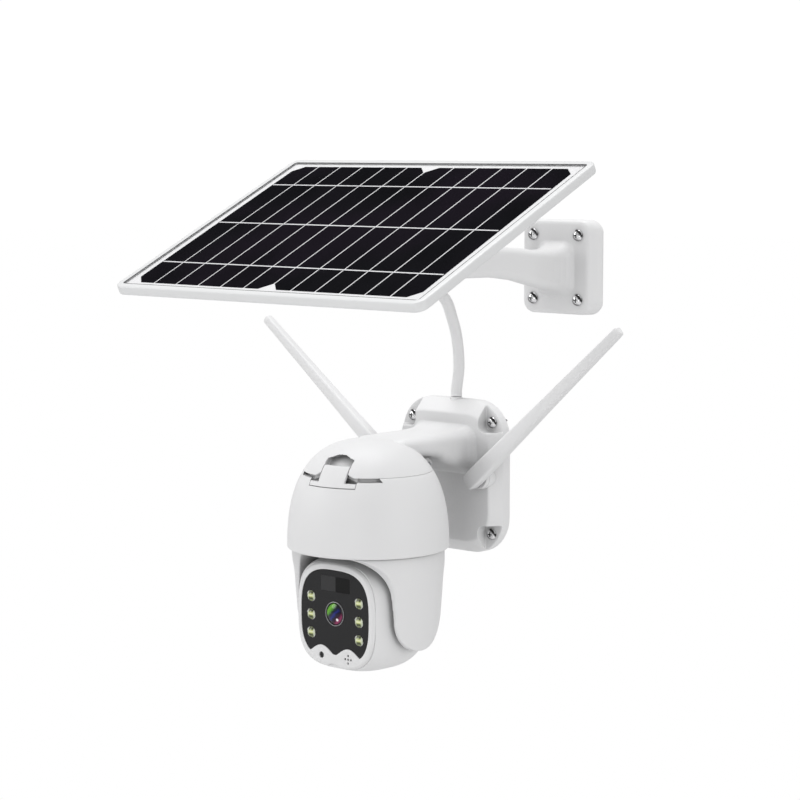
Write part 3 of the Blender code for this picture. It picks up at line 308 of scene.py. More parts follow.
def painted_lens_reflections():
    """Front element with painted reflections: green, blue and magenta patches of light reflected by the
    coating, and a painted white highlight.
    """
    mat = surface("lens_reflections_painted", (0.02, 0.03, 0.05), 0.1, bump=0.0, gloss=0.35)
    x, _, z = own_coords(mat)
    slant = calc(mat, "MULTIPLY_ADD", calc(mat, "SUBTRACT", x, z), 0.0355, 0.5)
    place = calc(mat, "ADD", slant, wander(mat, 420.0, 0.16))
    # painted reflections: coloured patches along the diagonal from upper left to lower right
    reflection_colours = ramp(mat, place, [
        (0.0, (0.004, 0.010, 0.003)), (0.10, (0.06, 0.22, 0.02)), (0.20, (0.16, 0.48, 0.03)),
        (0.30, (0.10, 0.34, 0.03)), (0.37, (0.01, 0.03, 0.02)), (0.46, (0.004, 0.008, 0.05)),
        (0.54, (0.012, 0.02, 0.20)), (0.62, (0.004, 0.004, 0.03)), (0.72, (0.03, 0.003, 0.015)),
        (0.84, (0.30, 0.03, 0.12)), (0.93, (0.16, 0.03, 0.07)), (1.0, (0.02, 0.005, 0.01))])
    across = calc(mat, "ABSOLUTE", calc(mat, "ADD", x, z))
    dark = (0.003, 0.003, 0.004)
    reflection_colours = blend_colour(mat, fade(mat, across, 6.5, 11.5), reflection_colours, dark)
    reflection_colours = blend_colour(mat, fade(mat, distance(mat, x, z), 7.6, 8.8), reflection_colours, dark)
    # painted highlight: a white spot low on the right
    glint = distance(mat, calc(mat, "SUBTRACT", x, 3.6), calc(mat, "ADD", z, 4.2))
    return paint(mat, blend_colour(mat, fade(mat, glint, 0.7, 1.5), (0.95, 0.9, 0.93), reflection_colours))


def painted_led_reflections():
    """LED seen through its lens, in a silver cup: the pale yellow stripe, the two dark patches and the cup's
    lighter top are painted reflections and painted light over the phosphor's own pale yellow.
    """
    mat = surface("led_yellow_painted_reflections", (0.5, 0.55, 0.25), 0.16, bump=0.0, gloss=0.6)
    x, _, z = own_coords(mat)
    level = calc(mat, "MULTIPLY_ADD", z, 0.11, 0.5)
    # painted reflections: pale and dark stripes up the LED's height
    painted_reflection_bands = ramp(mat, calc(mat, "ADD", level, wander(mat, 500.0, 0.10)), [
        (0.0, (0.50, 0.55, 0.42)), (0.10, (0.30, 0.34, 0.16)), (0.22, (0.02, 0.03, 0.008)),
        (0.36, (0.10, 0.12, 0.03)), (0.46, (0.62, 0.68, 0.26)), (0.56, (0.88, 0.90, 0.62)),
        (0.66, (0.50, 0.56, 0.20)), (0.76, (0.03, 0.04, 0.01)), (0.88, (0.08, 0.09, 0.03)),
        (1.0, (0.55, 0.60, 0.42))])
    side = calc(mat, "ABSOLUTE", calc(mat, "SUBTRACT", x, 0.4))
    # painted light: the silver cup gets lighter towards the top
    cup_with_painted_sheen = blend_colour(mat, fade(mat, level, 0.2, 0.8), (0.60, 0.66, 0.46), (0.72, 0.76, 0.62))
    return paint(mat, blend_colour(mat, fade(mat, side, 1.7, 2.9), painted_reflection_bands, cup_with_painted_sheen))


def silicon():
    """Near-black monocrystalline silicon."""
    mat = surface("silicon_cells", (0.0075, 0.0075, 0.0090), 0.6, spread=0.35, rough_spread=0.05,
                  grain=300.0, bump=0.02, gloss=0.0)
    patches = fade(mat, wander(mat, 9.0, 1.0), -0.12, 0.16)
    return paint(mat, blend_colour(mat, patches, painted(mat), (0.011, 0.009, 0.013)))


WHITE = surface("moulded_white", (0.80, 0.80, 0.805), 0.5, spread=0.012, grain=700.0, bump=0.12)
WHITE_FRAME = surface("frame_white", (0.75, 0.755, 0.76), 0.32, spread=0.012, grain=300.0, bump=0.08)
WHITE_SHEET = surface("backing_white", (0.80, 0.80, 0.81), 0.5, spread=0.02, grain=250.0, bump=0.1,
                      gloss=0.3)
BLACK = surface("acrylic_black", (0.010, 0.010, 0.011), 0.16, spread=0.15, rough_spread=0.03,
                grain=300.0, bump=0.02, gloss=0.3)
SMOKE = surface("sensor_smoke", (0.038, 0.038, 0.039), 0.5, spread=0.1, grain=600.0, bump=0.1, gloss=0.2)
SMOKE_DARK = surface("sensor_dark", (0.002, 0.002, 0.002), 0.4, spread=0.1, grain=600.0, bump=0.05,
                     gloss=0.2)
DARK = surface("barrel_black", (0.012, 0.012, 0.013), 0.4, spread=0.1, grain=900.0, bump=0.1, gloss=0.3)
GREY = surface("moulded_grey", (0.22, 0.22, 0.23), 0.5, spread=0.05, grain=450.0, bump=0.25)
KNOB = surface("knob_black", (0.02, 0.02, 0.021), 0.55, spread=0.1, grain=700.0, bump=0.4, depth=0.0001)
GAP_DARK = surface("dark_edge_ring", (0.05, 0.05, 0.052), 0.7, spread=0.1, grain=500.0, bump=0.3)
PLATING_PAINTED_REFLECTIONS = plating_with_painted_reflections()
STEEL = surface("turned_steel", (0.52, 0.53, 0.55), 0.3, 1.0, spread=0.08, rough_spread=0.1,
                grain=260.0, bump=0.15, stretch=(1, 1, 9))
RIBBON = surface("tinned_ribbon", (0.78, 0.78, 0.80), 0.4, 0.1, spread=0.08, grain=600.0, bump=0.1)
TRIM = surface("lens_trim", (0.30, 0.30, 0.31), 0.3, 0.3, spread=0.1, grain=600.0, bump=0.1)
BOARD = surface("solder_mask", (0.015, 0.13, 0.05), 0.4, spread=0.2, grain=350.0, bump=0.3)
WRAP = surface("cell_wrap", (0.03, 0.16, 0.36), 0.3, spread=0.08, grain=120.0, bump=0.1)
RUBBER = surface("moulded_rubber", (0.025, 0.025, 0.026), 0.75, spread=0.1, grain=600.0, bump=0.4)
JACKET = surface("cable_jacket_grey", (0.78, 0.78, 0.785), 0.42, spread=0.03, grain=420.0, bump=0.2)
shade_crevices(WHITE, 0.045, 0.45)
LENS_PAINTED_REFLECTIONS = painted_lens_reflections()
LED_YELLOW_AND_PAINTED_REFLECTIONS = painted_led_reflections()
SILICON = silicon()
PANE = clear("panel_pane", (0.99, 0.99, 0.99))


# ---- mesh helpers, mm ---------------------------------------------------------------------
def from_bmesh(name, bm):
    bmesh.ops.scale(bm, vec=(MM, MM, MM), verts=bm.verts)
    bmesh.ops.recalc_face_normals(bm, faces=bm.faces)
    mesh = bpy.data.meshes.new(name)
    bm.to_mesh(mesh)
    bm.free()
    return new_object(name, mesh)


def bake(obj):
    """Applies the modifiers and the object's placing, so the mesh holds the shape."""
    bpy.context.view_layer.update()
    mesh = bpy.data.meshes.new_from_object(obj.evaluated_get(bpy.context.evaluated_depsgraph_get()))
    obj.modifiers.clear()
    mesh.transform(obj.matrix_world)
    obj.matrix_world = Matrix.Identity(4)
    obj.data = mesh
    return obj


def cut(target, tool, operation="DIFFERENCE"):
    """Boolean, applied at once; the tool is used up."""
    mod = target.modifiers.new("cut", "BOOLEAN")
    mod.operation = operation
    mod.solver = "EXACT"
    mod.object = tool
    target.modifiers.new("weld", "WELD").merge_threshold = 0.000003
    bake(target)
    bpy.data.objects.remove(tool, do_unlink=True)
    return target


def join(target, tool):
    return cut(target, tool, "UNION")


def mould(obj, voxel, passes, keep):
    """Rounds every edge a little, as a moulding's edges are, and thins out the flat areas' faces."""
    melt = obj.modifiers.new("melt", "REMESH")
    melt.mode = "VOXEL"
    melt.voxel_size = voxel * MM * 1.0
    ease = obj.modifiers.new("ease", "SMOOTH")
    ease.factor = 0.5
    ease.iterations = passes
    thin = obj.modifiers.new("thin", "DECIMATE")
    thin.ratio = keep
    return bake(obj)


def bevel(obj, width, segments=3, angle=30):
    mod = obj.modifiers.new("bevel", "BEVEL")
    mod.width = width * MM
    mod.segments = segments
    mod.limit_method = "ANGLE"
    mod.angle_limit = radians(angle)
    return bake(obj)


def shade(obj, angle=35):
    for face in obj.data.polygons:
        face.use_smooth = True
    obj.data.set_sharp_from_angle(angle=radians(angle))
    return obj


def piece(obj, body, slot, *nodes, mat=None, angle=35):
    """Finishes a visible piece: shading, material, the body it rides on and what it stands for."""
    bake(obj)
    if mat is not None:
        obj.data.materials.clear()
        obj.data.materials.append(mat)
    shade(obj, angle)
    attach(obj, body)
    if nodes:
        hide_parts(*nodes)
    return obj


def aim(centre, axis):
    turn = Vector(axis).normalized().to_track_quat("Z", "Y").to_matrix().to_4x4()
    return Matrix.Translation(Vector(centre)) @ turn


def rod(name, start, end, r1, r2=None, sides=48):
    start, end = Vector(start), Vector(end)
    bm = bmesh.new()
    bmesh.ops.create_cone(bm, cap_ends=True, segments=sides, radius1=r1, radius2=r1 if r2 is None else r2,
                          depth=(end - start).length, matrix=aim((start + end) / 2, end - start))
    return from_bmesh(name, bm)


def cross_rod(name, place, x0, x1, radius, sides=48):
    """Rod along X, measured from a place."""
    return rod(name, place + Vector((x0, 0, 0)), place + Vector((x1, 0, 0)), radius, sides=sides)


def face_rod(name, x, z, radius, sides=48):
    """Rod along Y through the front of the head."""
    return rod(name, (x, FACE_Y + 9, z), (x, FACE_Y - 9, z), radius, sides=sides)


def screw_hole(x, z):
    return rod("hole", (x, 5, z), (x, -30, z), 2.6, sides=24)


def block(name, low, high, turn=None):
    low, high = Vector(low), Vector(high)
    bm = bmesh.new()
    bmesh.ops.create_cube(bm, size=1.0)
    bmesh.ops.scale(bm, vec=[abs(side) for side in high - low], verts=bm.verts)
    bmesh.ops.translate(bm, vec=(low + high) / 2, verts=bm.verts)
    if turn is not None:
        bmesh.ops.transform(bm, matrix=turn, verts=bm.verts)
    return from_bmesh(name, bm)


def loft(name, sections, closed=False):
    """Skin over loops with equal counts; closed joins the last loop to the first."""
    bm = bmesh.new()
    loops = [[bm.verts.new(p) for p in section] for section in sections]
    pairs = list(zip(loops, loops[1:]))
    if closed:
        pairs.append((loops[-1], loops[0]))
    for lower, upper in pairs:
        for i in range(len(lower)):
            j = (i + 1) % len(lower)
            bm.faces.new((lower[i], lower[j], upper[j], upper[i]))
    if not closed:
        bm.faces.new(loops[0][::-1])
        bm.faces.new(loops[-1])
    return from_bmesh(name, bm)


def lathe(name, profile, centre=(0, 0, 0), axis=(0, 0, 1), steps=96):
    """Solid of revolution of an open or closed (radius, height) outline about an axis."""
    bm = bmesh.new()
    rings = []
    for radius, height in profile:
        angles = [2 * pi * i / steps for i in range(steps if radius >= 1e-6 else 1)]
        rings.append([bm.verts.new((radius * cos(a), radius * sin(a), height)) for a in angles])
    for a, b in zip(rings, rings[1:] + rings[:1]):
        for i in range(steps if len(a) + len(b) > 2 else 0):
            j = (i + 1) % steps
            if len(a) == 1:
                bm.faces.new((a[0], b[j], b[i]))
            elif len(b) == 1:
                bm.faces.new((a[i], a[j], b[0]))
            else:
                bm.faces.new((a[i], a[j], b[j], b[i]))
    bmesh.ops.transform(bm, matrix=aim(centre, axis), verts=bm.verts)
    return from_bmesh(name, bm)


def prism(name, outline, y_back, y_front, centre=(0.0, 0.0)):
    """Plate of an X-Z outline between two Y planes."""
    return loft(name, [[(centre[0] + x, y, centre[1] + z) for x, z in outline] for y in (y_back, y_front)])


def arc(cx, cy, radius, start, end, count):
    return [(cx + radius * cos(radians(start + (end - start) * i / count)),
             cy + radius * sin(radians(start + (end - start) * i / count))) for i in range(count + 1)]


def rounded_rect(half_w, half_h, radius, count=8):
    points = []
    for sx, sy, turn in ((1, 1, 0), (-1, 1, 90), (-1, -1, 180), (1, -1, 270)):
        points += arc(sx * (half_w - radius), sy * (half_h - radius), radius, turn, turn + 90, count)
    return points


def beam(name, rows, x=0.0, count=6):
    """Skin along Y over rounded rectangles; a row is (y, half width, low z, high z, corner radius)."""
    loops = []
    for y, half_w, low, high, radius in rows:
        outline = rounded_rect(half_w, (high - low) / 2, radius, count)
        loops.append([(x + px, y, (low + high) / 2 + pz) for px, pz in outline])
    return loft(name, loops)


def superellipse(half_w, half_h, power, count=96, low=None):
    points = []
    for i in range(count):
        angle = 2 * pi * i / count
        c, s = cos(angle), sin(angle)
        height = half_h if s >= 0 or low is None else low
        reach = (abs(c) ** power + abs(s) ** power) ** (-1 / power)
        points.append((half_w * c * reach, height * s * reach))
    return points


# ---- cable --------------------------------------------------------------------------------
CABLE_RADIUS = 4.6
CABLE_ENDS = ((1.6, -6.0, 65.2), (60.4, -229.1, 191.8))
CABLE_POINTS = [
    (1.6, -6.0, 70.4), (6.9, -9.3, 89.3), (14.6, -21.0, 113.5), (26.3, -41.5, 132.8),
    (41.8, -71.0, 152.4), (53.0, -110.0, 163.0), (58.6, -150.0, 164.0), (60.4, -185.0, 162.5),
    (60.4, -206.0, 164.0), (60.4, -220.5, 173.5), (60.4, -227.3, 188.0)]


def smooth_route(points, count):
    """Evenly spaced points on a smooth curve through the route (centripetal Catmull-Rom)."""
    pts = [Vector(p) for p in points]
    pts = [pts[0] * 2 - pts[1]] + pts + [pts[-1] * 2 - pts[-2]]

    def between(a, ta, b, tb, t):
        return a * ((tb - t) / (tb - ta)) + b * ((t - ta) / (tb - ta))

    fine = []
    for p0, p1, p2, p3 in zip(pts, pts[1:], pts[2:], pts[3:]):
        t1 = (p1 - p0).length ** 0.5
        t2 = t1 + (p2 - p1).length ** 0.5
        t3 = t2 + (p3 - p2).length ** 0.5
        for i in range(20):
            t = t1 + (t2 - t1) * i / 20
            a1 = between(p0, 0, p1, t1, t)
            a2 = between(p1, t1, p2, t2, t)
            a3 = between(p2, t2, p3, t3, t)
            fine.append(between(between(a1, 0, a2, t2, t), t1, between(a2, t1, a3, t3, t), t2, t))
    fine.append(pts[-2])
    lengths = [0.0]
    for a, b in zip(fine, fine[1:]):
        lengths.append(lengths[-1] + (b - a).length)
    even, k = [], 0
    for i in range(count):
        goal = lengths[-1] * i / (count - 1)
        while k < len(fine) - 2 and lengths[k + 1] < goal:
            k += 1
        share = (goal - lengths[k]) / (lengths[k + 1] - lengths[k])
        even.append(fine[k].lerp(fine[k + 1], share))
    return even


def solar_cable():
    route = [Vector(CABLE_ENDS[0])] + smooth_route(CABLE_POINTS, 60) + [Vector(CABLE_ENDS[1])]
    curve = bpy.data.curves.new("solar_cable_flex", "CURVE")
    curve.dimensions = "3D"
    curve.bevel_depth = CABLE_RADIUS * MM
    curve.bevel_resolution = 8
    curve.use_fill_caps = True
    spline = curve.splines.new("POLY")
    spline.points.add(len(route) - 1)
    for point, place in zip(spline.points, route):
        point.co = (*(place * MM), 1)
    guide = new_object("cable_guide", curve)
    bpy.context.view_layer.update()
    mesh = bpy.data.meshes.new_from_object(guide.evaluated_get(bpy.context.evaluated_depsgraph_get()))
    bpy.data.objects.remove(guide, do_unlink=True)
    bm = bmesh.new()
    bm.from_mesh(mesh)
    bmesh.ops.remove_doubles(bm, verts=bm.verts, dist=0.000005)
    bmesh.ops.recalc_face_normals(bm, faces=bm.faces)
    bm.to_mesh(mesh)
    bm.free()
    mesh.materials.clear()
    mesh.materials.append(JACKET)
    cable = shade(new_object("solar_cable_flex", mesh), 50)
    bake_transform(cable)
    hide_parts("solar_cable")


# ---- dome shape ---------------------------------------------------------------------------
def dome_radius(z, offset=0.0):
    t = min(max((z - DOME_RIM_Z) / DOME_HEIGHT, 0.0), 1.0)
    return max(DOME_RADIUS * (1 - t ** DOME_POWER) ** (1 / DOME_POWER) - offset, 0.0)


def crown(offset, bottom, count=28):
    """Outline of the closed top of the dome, shrunk by a wall thickness."""
    height = DOME_HEIGHT - offset
    radius = DOME_RADIUS - offset
    start = acos(min(1.0, (bottom - DOME_RIM_Z) / height))
    points = []
    for i in range(count + 1):
        z = height * cos(start * i / count)
        r = radius * (1 - (z / height) ** DOME_POWER) ** (1 / DOME_POWER) if i else 0.0
        points.append((r, DOME_RIM_Z + z))
    return points


LATCH_TURN = Matrix.Translation((0, DOME_Y, 0)) @ Matrix.Rotation(LATCH_ANGLE, 4, "Z")
LATCH_ACROSS = Vector((cos(LATCH_ANGLE), sin(LATCH_ANGLE), 0))


def dome_ring(name, outline, steps=144):
    """Turned body about the dome's axis."""
    return lathe(name, outline, (0, DOME_Y, 0), steps=steps)


def latch_block(name, side_low, side_high, inner, outer, z_low, z_high):
    return block(name, (side_low, -outer, z_low), (side_high, -inner, z_high), LATCH_TURN)


def latch_loft(name, outer, inner, r_outer, r_inner):
    """Tapered plug that narrows towards the dome's axis; outlines are (side, z) points."""
    far = [LATCH_TURN @ Vector((x, -r_outer, z)) for x, z in outer]
    near = [LATCH_TURN @ Vector((x, -r_inner, z)) for x, z in inner]
    return loft(name, [far, near])


# ---- housing: base, arm and cap -----------------------------------------------------------
BASE_HALF = (54.3, 63.5)
BASE_SCREWS = (42.6, 46.4)
HINGE_BORE = 1.8
POCKET_SIDE = {1: 36.0, -1: 31.5}


def base_loop(y, inset_x, inset_z, radius):
    return [(x, y, z) for x, z in rounded_rect(BASE_HALF[0] - inset_x, BASE_HALF[1] - inset_z, radius, 10)]


def base_outer(grow=0.0):
    """The base's rim, slope and front face, with rounded edges."""
    rows = ((2.0 if grow else -0.05, 0.0, 0.0, 31), (-9.1, 0.0, 0.0, 31), (-9.8, 0.3, 0.4, 30.8),
            (-19.0, 6.5, 9.4, 25), (-19.7, 7.2, 10.4, 24.2), (-20.0, 8.0, 11.4, 23.4))
    return [base_loop(y - grow, dx - grow, dz - grow, r) for y, dx, dz, r in rows]


def pocket_outline(sx, sz, x, z):
    radius = 6.0
    points = [(x, 90.0), (90.0, 90.0), (90.0, z)]
    points += [(x + radius - radius * sin(radians(a)), z + radius - radius * cos(radians(a)))
               for a in range(0, 91, 15)]
    points = [(sx * px, sz * pz) for px, pz in points]
    return points if sx * sz > 0 else points[::-1]


def hinge_lug(name, outline, low, high):
    """Lug of a (y, z) outline about the body hinge."""
    return loft(name, [[(x, HINGE.y + y, HINGE.z + z) for y, z in outline] for x in (low, high)])


def housing():
    body = loft("housing_moulding", base_outer())
    join(body, beam("arm", [
        (-14.0, 43.0, -3.5, 48.0, 18), (-17.5, 37.4, 0.8, 45.2, 15), (-20.0, 34.6, 3.4, 43.8, 13),
        (-23.0, 32.3, 5.8, 42.4, 12), (-27.0, 30.3, 8.0, 41.1, 10), (-32.0, 28.8, 10.0, 40.1, 9),
        (-38.0, 27.7, 11.9, 39.4, 8), (-44.0, 27.1, 14.2, 39.1, 7), (-50.0, 27.0, 17.2, 39.0, 7),
        (-54.0, 27.0, 19.8, 39.0, 7), (-61.0, 27.0, 21.6, 39.0, 7), (-72.0, 27.0, 23.0, 39.0, 7),
        (-98.0, 26.5, 24.0, 38.6, 6), (-116.0, 18.0, 24.5, 36.0, 5)]))
    seam = SEAM_Z - 0.05
    join(body, dome_ring("cap", crown(0.0, seam) + [(0.0, seam)]))

    inside = dome_ring("cap_inside", crown(4.0, SEAM_Z - 6) + [(0.0, SEAM_Z - 6)], 96)
    cut(inside, latch_block("keeper", -25.0, 25.0, 34.0, 60.0, SEAM_Z - 8, 36.0))
    cut(inside, latch_block("keeper_top", -17.0, 17.0, 22.0, 60.0, 19.0, 37.0))
    cut(body, inside)
    back = rounded_rect(BASE_HALF[0] - 2.8, BASE_HALF[1] - 2.8, 28.2, 10)
    cut(body, prism("back_recess", back, 5.0, -2.7))
    for sx in (1, -1):
        for sz in (1, -1):
            cut(body, prism("pocket", pocket_outline(sx, sz, POCKET_SIDE[sx], 38.5), -9.2, -40.0))
            cut(body, screw_hole(sx * BASE_SCREWS[0], sz * BASE_SCREWS[1]))
    gland = centre_of("base_cable_gland")
    cut(body, rod("cable_hole", (gland.x, gland.y, 56), (gland.x, gland.y, 80), 4.8))
    outline = [(-12.5, 5.0), (12.5, 5.0), (12.5, 27.6)] + arc(0, 14.0, 16.8, 60, 120, 12) + [(-12.5, 27.6)]
    recess = latch_loft("tongue_recess", outline, outline, 70.0, 20.0)
    steep = [(min(r, 42.8), z) for r, z in crown(5.0, 4.0)]
    cut(recess, dome_ring("recess_floor", steep + [(0.0, 4.0)], 96))
    cut(body, recess)
    for side in (1, -1):
        outer = [(side * 11.0, 8.0), (side * 11.0, 40.0), (side * 62.0, 8.0)]
        inner = [(side * 11.0, 8.0), (side * 11.0, 15.5), (side * 23.0, 8.0)]
        cut(body, latch_loft("thumb_bevel", outer[::side], inner[::side], 62.0, 46.0))
        span = sorted((side * 10.0, side * 16.0))
        lug = arc(0, 0, 4.2, -200, 70, 24) + [(-1.0, 5.4), (-12.0, 5.4), (-12.0, 1.4)]
        join(body, hinge_lug("cap_lug", lug, *span))
    cut(body, cross_rod("pin_hole", HINGE, -40, 40, HINGE_BORE, 24))
    mould(body, 0.55, 1, 0.3)
    piece(body, "wall_side", "white_plastic", "bracket_housing", mat=WHITE)
    collar = lathe("cable_collar", [(0.0, 64.6), (4.7, 64.6), (4.8, 64.4), (4.8, 58.5), (0.0, 58.5)],
                   (gland.x, gland.y, 0), steps=48)
    return piece(collar, "wall_side", "cable_jacket", "base_cable_gland", mat=JACKET)


# ---- lower dome and latch -----------------------------------------------------------------
def latch_sweep():
    """Room behind the dome's lip for the lever's bar, whose outer corner turns about the latch's pin."""
    pin_reach, bar_outer, bar_drop, room, half = 48.9, 55.9, 1.75, 0.15, 21.6
    profile = [(0.0, -half)]
    for i in range(13):
        side = half * (i / 6 - 1)
        out = sqrt(bar_outer ** 2 - side ** 2) - pin_reach
        profile.append((room + sqrt(out ** 2 + bar_drop ** 2), side))
    return lathe("latch_sweep", profile + [(0.0, half)], LATCH_AXIS, LATCH_ACROSS, steps=64)


def lower_dome():
    rim_top = SEAM_Z - 0.15
    outer = [(dome_radius(rim_top) - 0.1, rim_top)]
    for i in range(31):
        z = rim_top - 0.1 + (DOME_RIM_Z + 2.4 - rim_top + 0.1) * (i / 30) ** 0.9
        outer.append((dome_radius(z), z))
    outer += arc(DOME_RADIUS - 1.6, DOME_RIM_Z + 1.3, 1.6, 0, -80, 5)
    inner = []
    for i in range(13):
        z = DOME_RIM_Z + (rim_top - DOME_RIM_Z) * i / 12
        t = min(max((z + 30) / 30, 0.0), 1.0)
        inner.append((dome_radius(z) - 2.5 - 1.5 * t * t * (3 - 2 * t), z))
    shell = dome_ring("lower_dome", outer + inner, 192)
    backing = latch_block("backing", -24.0, 24.0, 38.0, 70.0, 1.0, rim_top - 0.05)
    cut(backing, dome_ring("limit", crown(0.5, 0.5) + [(0.0, 0.5)], 96), "INTERSECT")
    join(shell, backing)
    rib = dome_ring("slot_rib", [(51.6, rim_top - 0.1), (57.6, 1.0), (54.8, 1.0), (44.6, rim_top - 0.1)], 96)
    cut(rib, latch_block("rib_limit", -41.0, 41.0, 20.0, 70.0, -5.0, 20.0), "INTERSECT")
    join(shell, rib)
    cut(shell, latch_block("pocket", -21.8, 21.8, 45.7, 70.0, 6.7, SEAM_Z + 3))
    cut(shell, latch_sweep())
    for low, high, slant, floor in ((-37.0, -20.0, 0.0, 12.0), (20.0, 38.6, -3.4, 11.3)):
        section = [(48.0, 19.0), (66.0, 19.0), (66.0, floor - 0.9), (57.6, floor), (48.0, floor + 0.5)]
        groove = dome_ring("groove", section, 192)
        top = high + slant
        ends = [(low, 4.0), (high, 4.0), (high, floor), (top, 15.0), (top, 20.0), (low, 20.0)]
        cut(groove, latch_loft("groove_span", ends, ends, 70.0, 20.0), "INTERSECT")
        cut(shell, groove)
    lug = arc(0, 0, 4.2, -70, 170, 24) + [(-6.5, -1.0), (-6.5, -6.5), (0.0, -6.5)]
    join(shell, hinge_lug("body_lug", lug, -9.6, 9.6))
    cut(shell, cross_rod("pin_hole", HINGE, -40, 40, HINGE_BORE, 24))
    return piece(shell, "lower_body", "white_plastic", "dome_shell", mat=WHITE, angle=28)


def latch():
    """T-shaped snap lever that follows the dome: a bar in the pocket and a tongue above it."""
    shell = dome_ring("latch_lever", crown(-0.1, 5.0) + crown(2.2, 5.0)[::-1], 192)
    bar = latch_block("bar", -21.4, 21.4, 30.0, 70.0, 7.1, 10.5)
    join(bar, latch_block("tongue", -12.0, 12.0, 30.0, 70.0, 8.0, 22.9))
    cut(shell, bar, "INTERSECT")
    reach = LATCH_ACROSS * 21.2
    join(shell, rod("barrel", LATCH_AXIS - reach, LATCH_AXIS + reach, 1.75, sides=32))
    mould(shell, 0.32, 2, 0.4)
    return piece(shell, "latch_lever", "white_plastic", "latch", mat=WHITE)


# ---- yoke ---------------------------------------------------------------------------------
def yoke():
    outer = [(0.0, -38.7), (56.0, -38.7), (57.6, -40.2), (57.6, -46.0), (61.2, -47.8), (61.6, -60.0),
             (61.0, -80.0), (59.8, -100.0), (57.6, -120.0), (55.7, -135.0), (0.0, -135.0)]
    body = dome_ring("yoke_moulding", outer, 192)
    right = [(70.0, -30.0), (70.0, -46.5)]
    for i in range(17):
        u = i / 16
        right.append((28.6 + 33.0 * (1 - sqrt(1 - (1 - u) ** 2)), -46.5 - 34.0 * u))
    outline = right + arc(0, HEAD_Z + 0.7, 27.2, 0, -180, 36) + [(-y, z) for y, z in right[::-1]]
    lobe = loft("lobe", [[(x, DOME_Y + y, z) for y, z in outline] for x in (-80, 80)])
    cut(body, lobe, "INTERSECT")
    tunnel = [(x, z) for x, z in superellipse(50.3, 51.0, 3.0, 120) if z >= -0.01]
    tunnel += [(-50.3, -60.0), (50.3, -60.0)]
    cut(body, prism("tunnel", tunnel, DOME_Y + 90, DOME_Y - 90, centre=(0, HEAD_Z)))
    cut(body, dome_ring("roof_pocket", [(26.0, -30.0), (54.8, -30.0), (54.8, -43.4), (26.0, -43.4)]))
    cut(body, rod("hub", (0, DOME_Y, -60), (0, DOME_Y, -20), 3.0))
    cut(body, cross_rod("bore", Vector((0, DOME_Y, HEAD_Z)), -55.5, 55.5, 3.3))
    mould(body, 0.62, 4, 0.3)
    return piece(body, "pan_rotor", "white_plastic", "yoke", mat=WHITE)


# ---- camera head --------------------------------------------------------------------------
HEAD_RADII = (48.5, 49.5, 46.6)
HEAD_FRONT = (51.5, 60.0)
BUMP = (14.3, HEAD_Z - 33.3)


def head_ball(name, shrink, segments=128, rings=64):
    bm = bmesh.new()
    bmesh.ops.create_uvsphere(bm, u_segments=segments, v_segments=rings, radius=1.0,
                              matrix=Matrix.Rotation(radians(90), 4, "X"))
    a, back, c = (r - shrink for r in HEAD_RADII)
    for vert in bm.verts:
        x, y, z = vert.co
        across = (abs(x) ** 3 + abs(z) ** 3) ** (1 / 3)
        power = 3.0 if y < 0 else 2.0
        upright = (z / max(across, 0.001)) ** 2
        front = HEAD_FRONT[0] + (HEAD_FRONT[1] - HEAD_FRONT[0]) * upright
        b = front - shrink if y < 0 else back
        reach = (across ** power + abs(y) ** power) ** (-1 / power)
        vert.co = (a * x * reach, DOME_Y + b * y * reach, HEAD_Z + c * z * reach)
    return from_bmesh(name, bm)


def head_shell():
    shell = head_ball("head_moulding", 0.0)
    cut(shell, head_ball("hollow", 2.6, 64, 32))
    cut(shell, block("front_cut", (-80, DOME_Y - 90, HEAD_Z - 80), (80, FACE_Y + 2.6, HEAD_Z + 80)))
    for side in (1, -1):
        cut(shell, cross_rod("shaft_hole", Vector((0, DOME_Y, HEAD_Z)), side * 30, side * 70, 3.6))
    return piece(shell, "tilt_head", "white_plastic", "head_shell", mat=WHITE)


def window_outline(inset):
    """Squarish window whose lower edge waves over the microphone's and the speaker's bosses."""
    points = []
    for x, z in superellipse(36.3 - inset, 36.7 - inset, 3.0, 288, 37.0 - inset):
        if z < 0 and abs(x) < 2 * BUMP[0]:
            lift = (1 + cos(pi * (abs(x) - BUMP[0]) / BUMP[0])) / 2
            wave = -32.6 + inset + 7.4 * sqrt(lift * lift + 0.002) ** 0.62
            z = (z + wave + sqrt((z - wave) ** 2 + 0.8)) / 2
        points.append((x, z))
    return points


def head_bezel():
    front = superellipse(39.3, 40.6, 2.9, 144)
    rows = ((1.046, 2.5), (1.040, 1.9), (1.024, 1.0), (1.012, 0.4), (0.996, 0.08), (0.98, 0.0))
    bezel = loft("face_bezel", [[(x * k, FACE_Y + y, HEAD_Z + z * k) for x, z in front] for k, y in rows])
    cut(bezel, prism("opening", window_outline(0.0), FACE_Y + 8, FACE_Y - 8, centre=(0, HEAD_Z)))
    cut(bezel, face_rod("mic", -BUMP[0], BUMP[1], 2.6))
    for dx, dz in ((0, 0), (3.0, 0), (-3.0, 0), (0, 3.0), (0, -3.0)):
        cut(bezel, face_rod("sound", BUMP[0] + dx, BUMP[1] + dz, 0.95, 20))
    low = HEAD_Z - 50.4
    cut(bezel, rod("drip_notch", (-1.0, FACE_Y + 0.9, low), (-1.0, FACE_Y - 9, low), 11.5))
    bevel(bezel, 0.35, 2, 50)
    return piece(bezel, "tilt_head", "white_plastic", "head_bezel", mat=WHITE, angle=32)


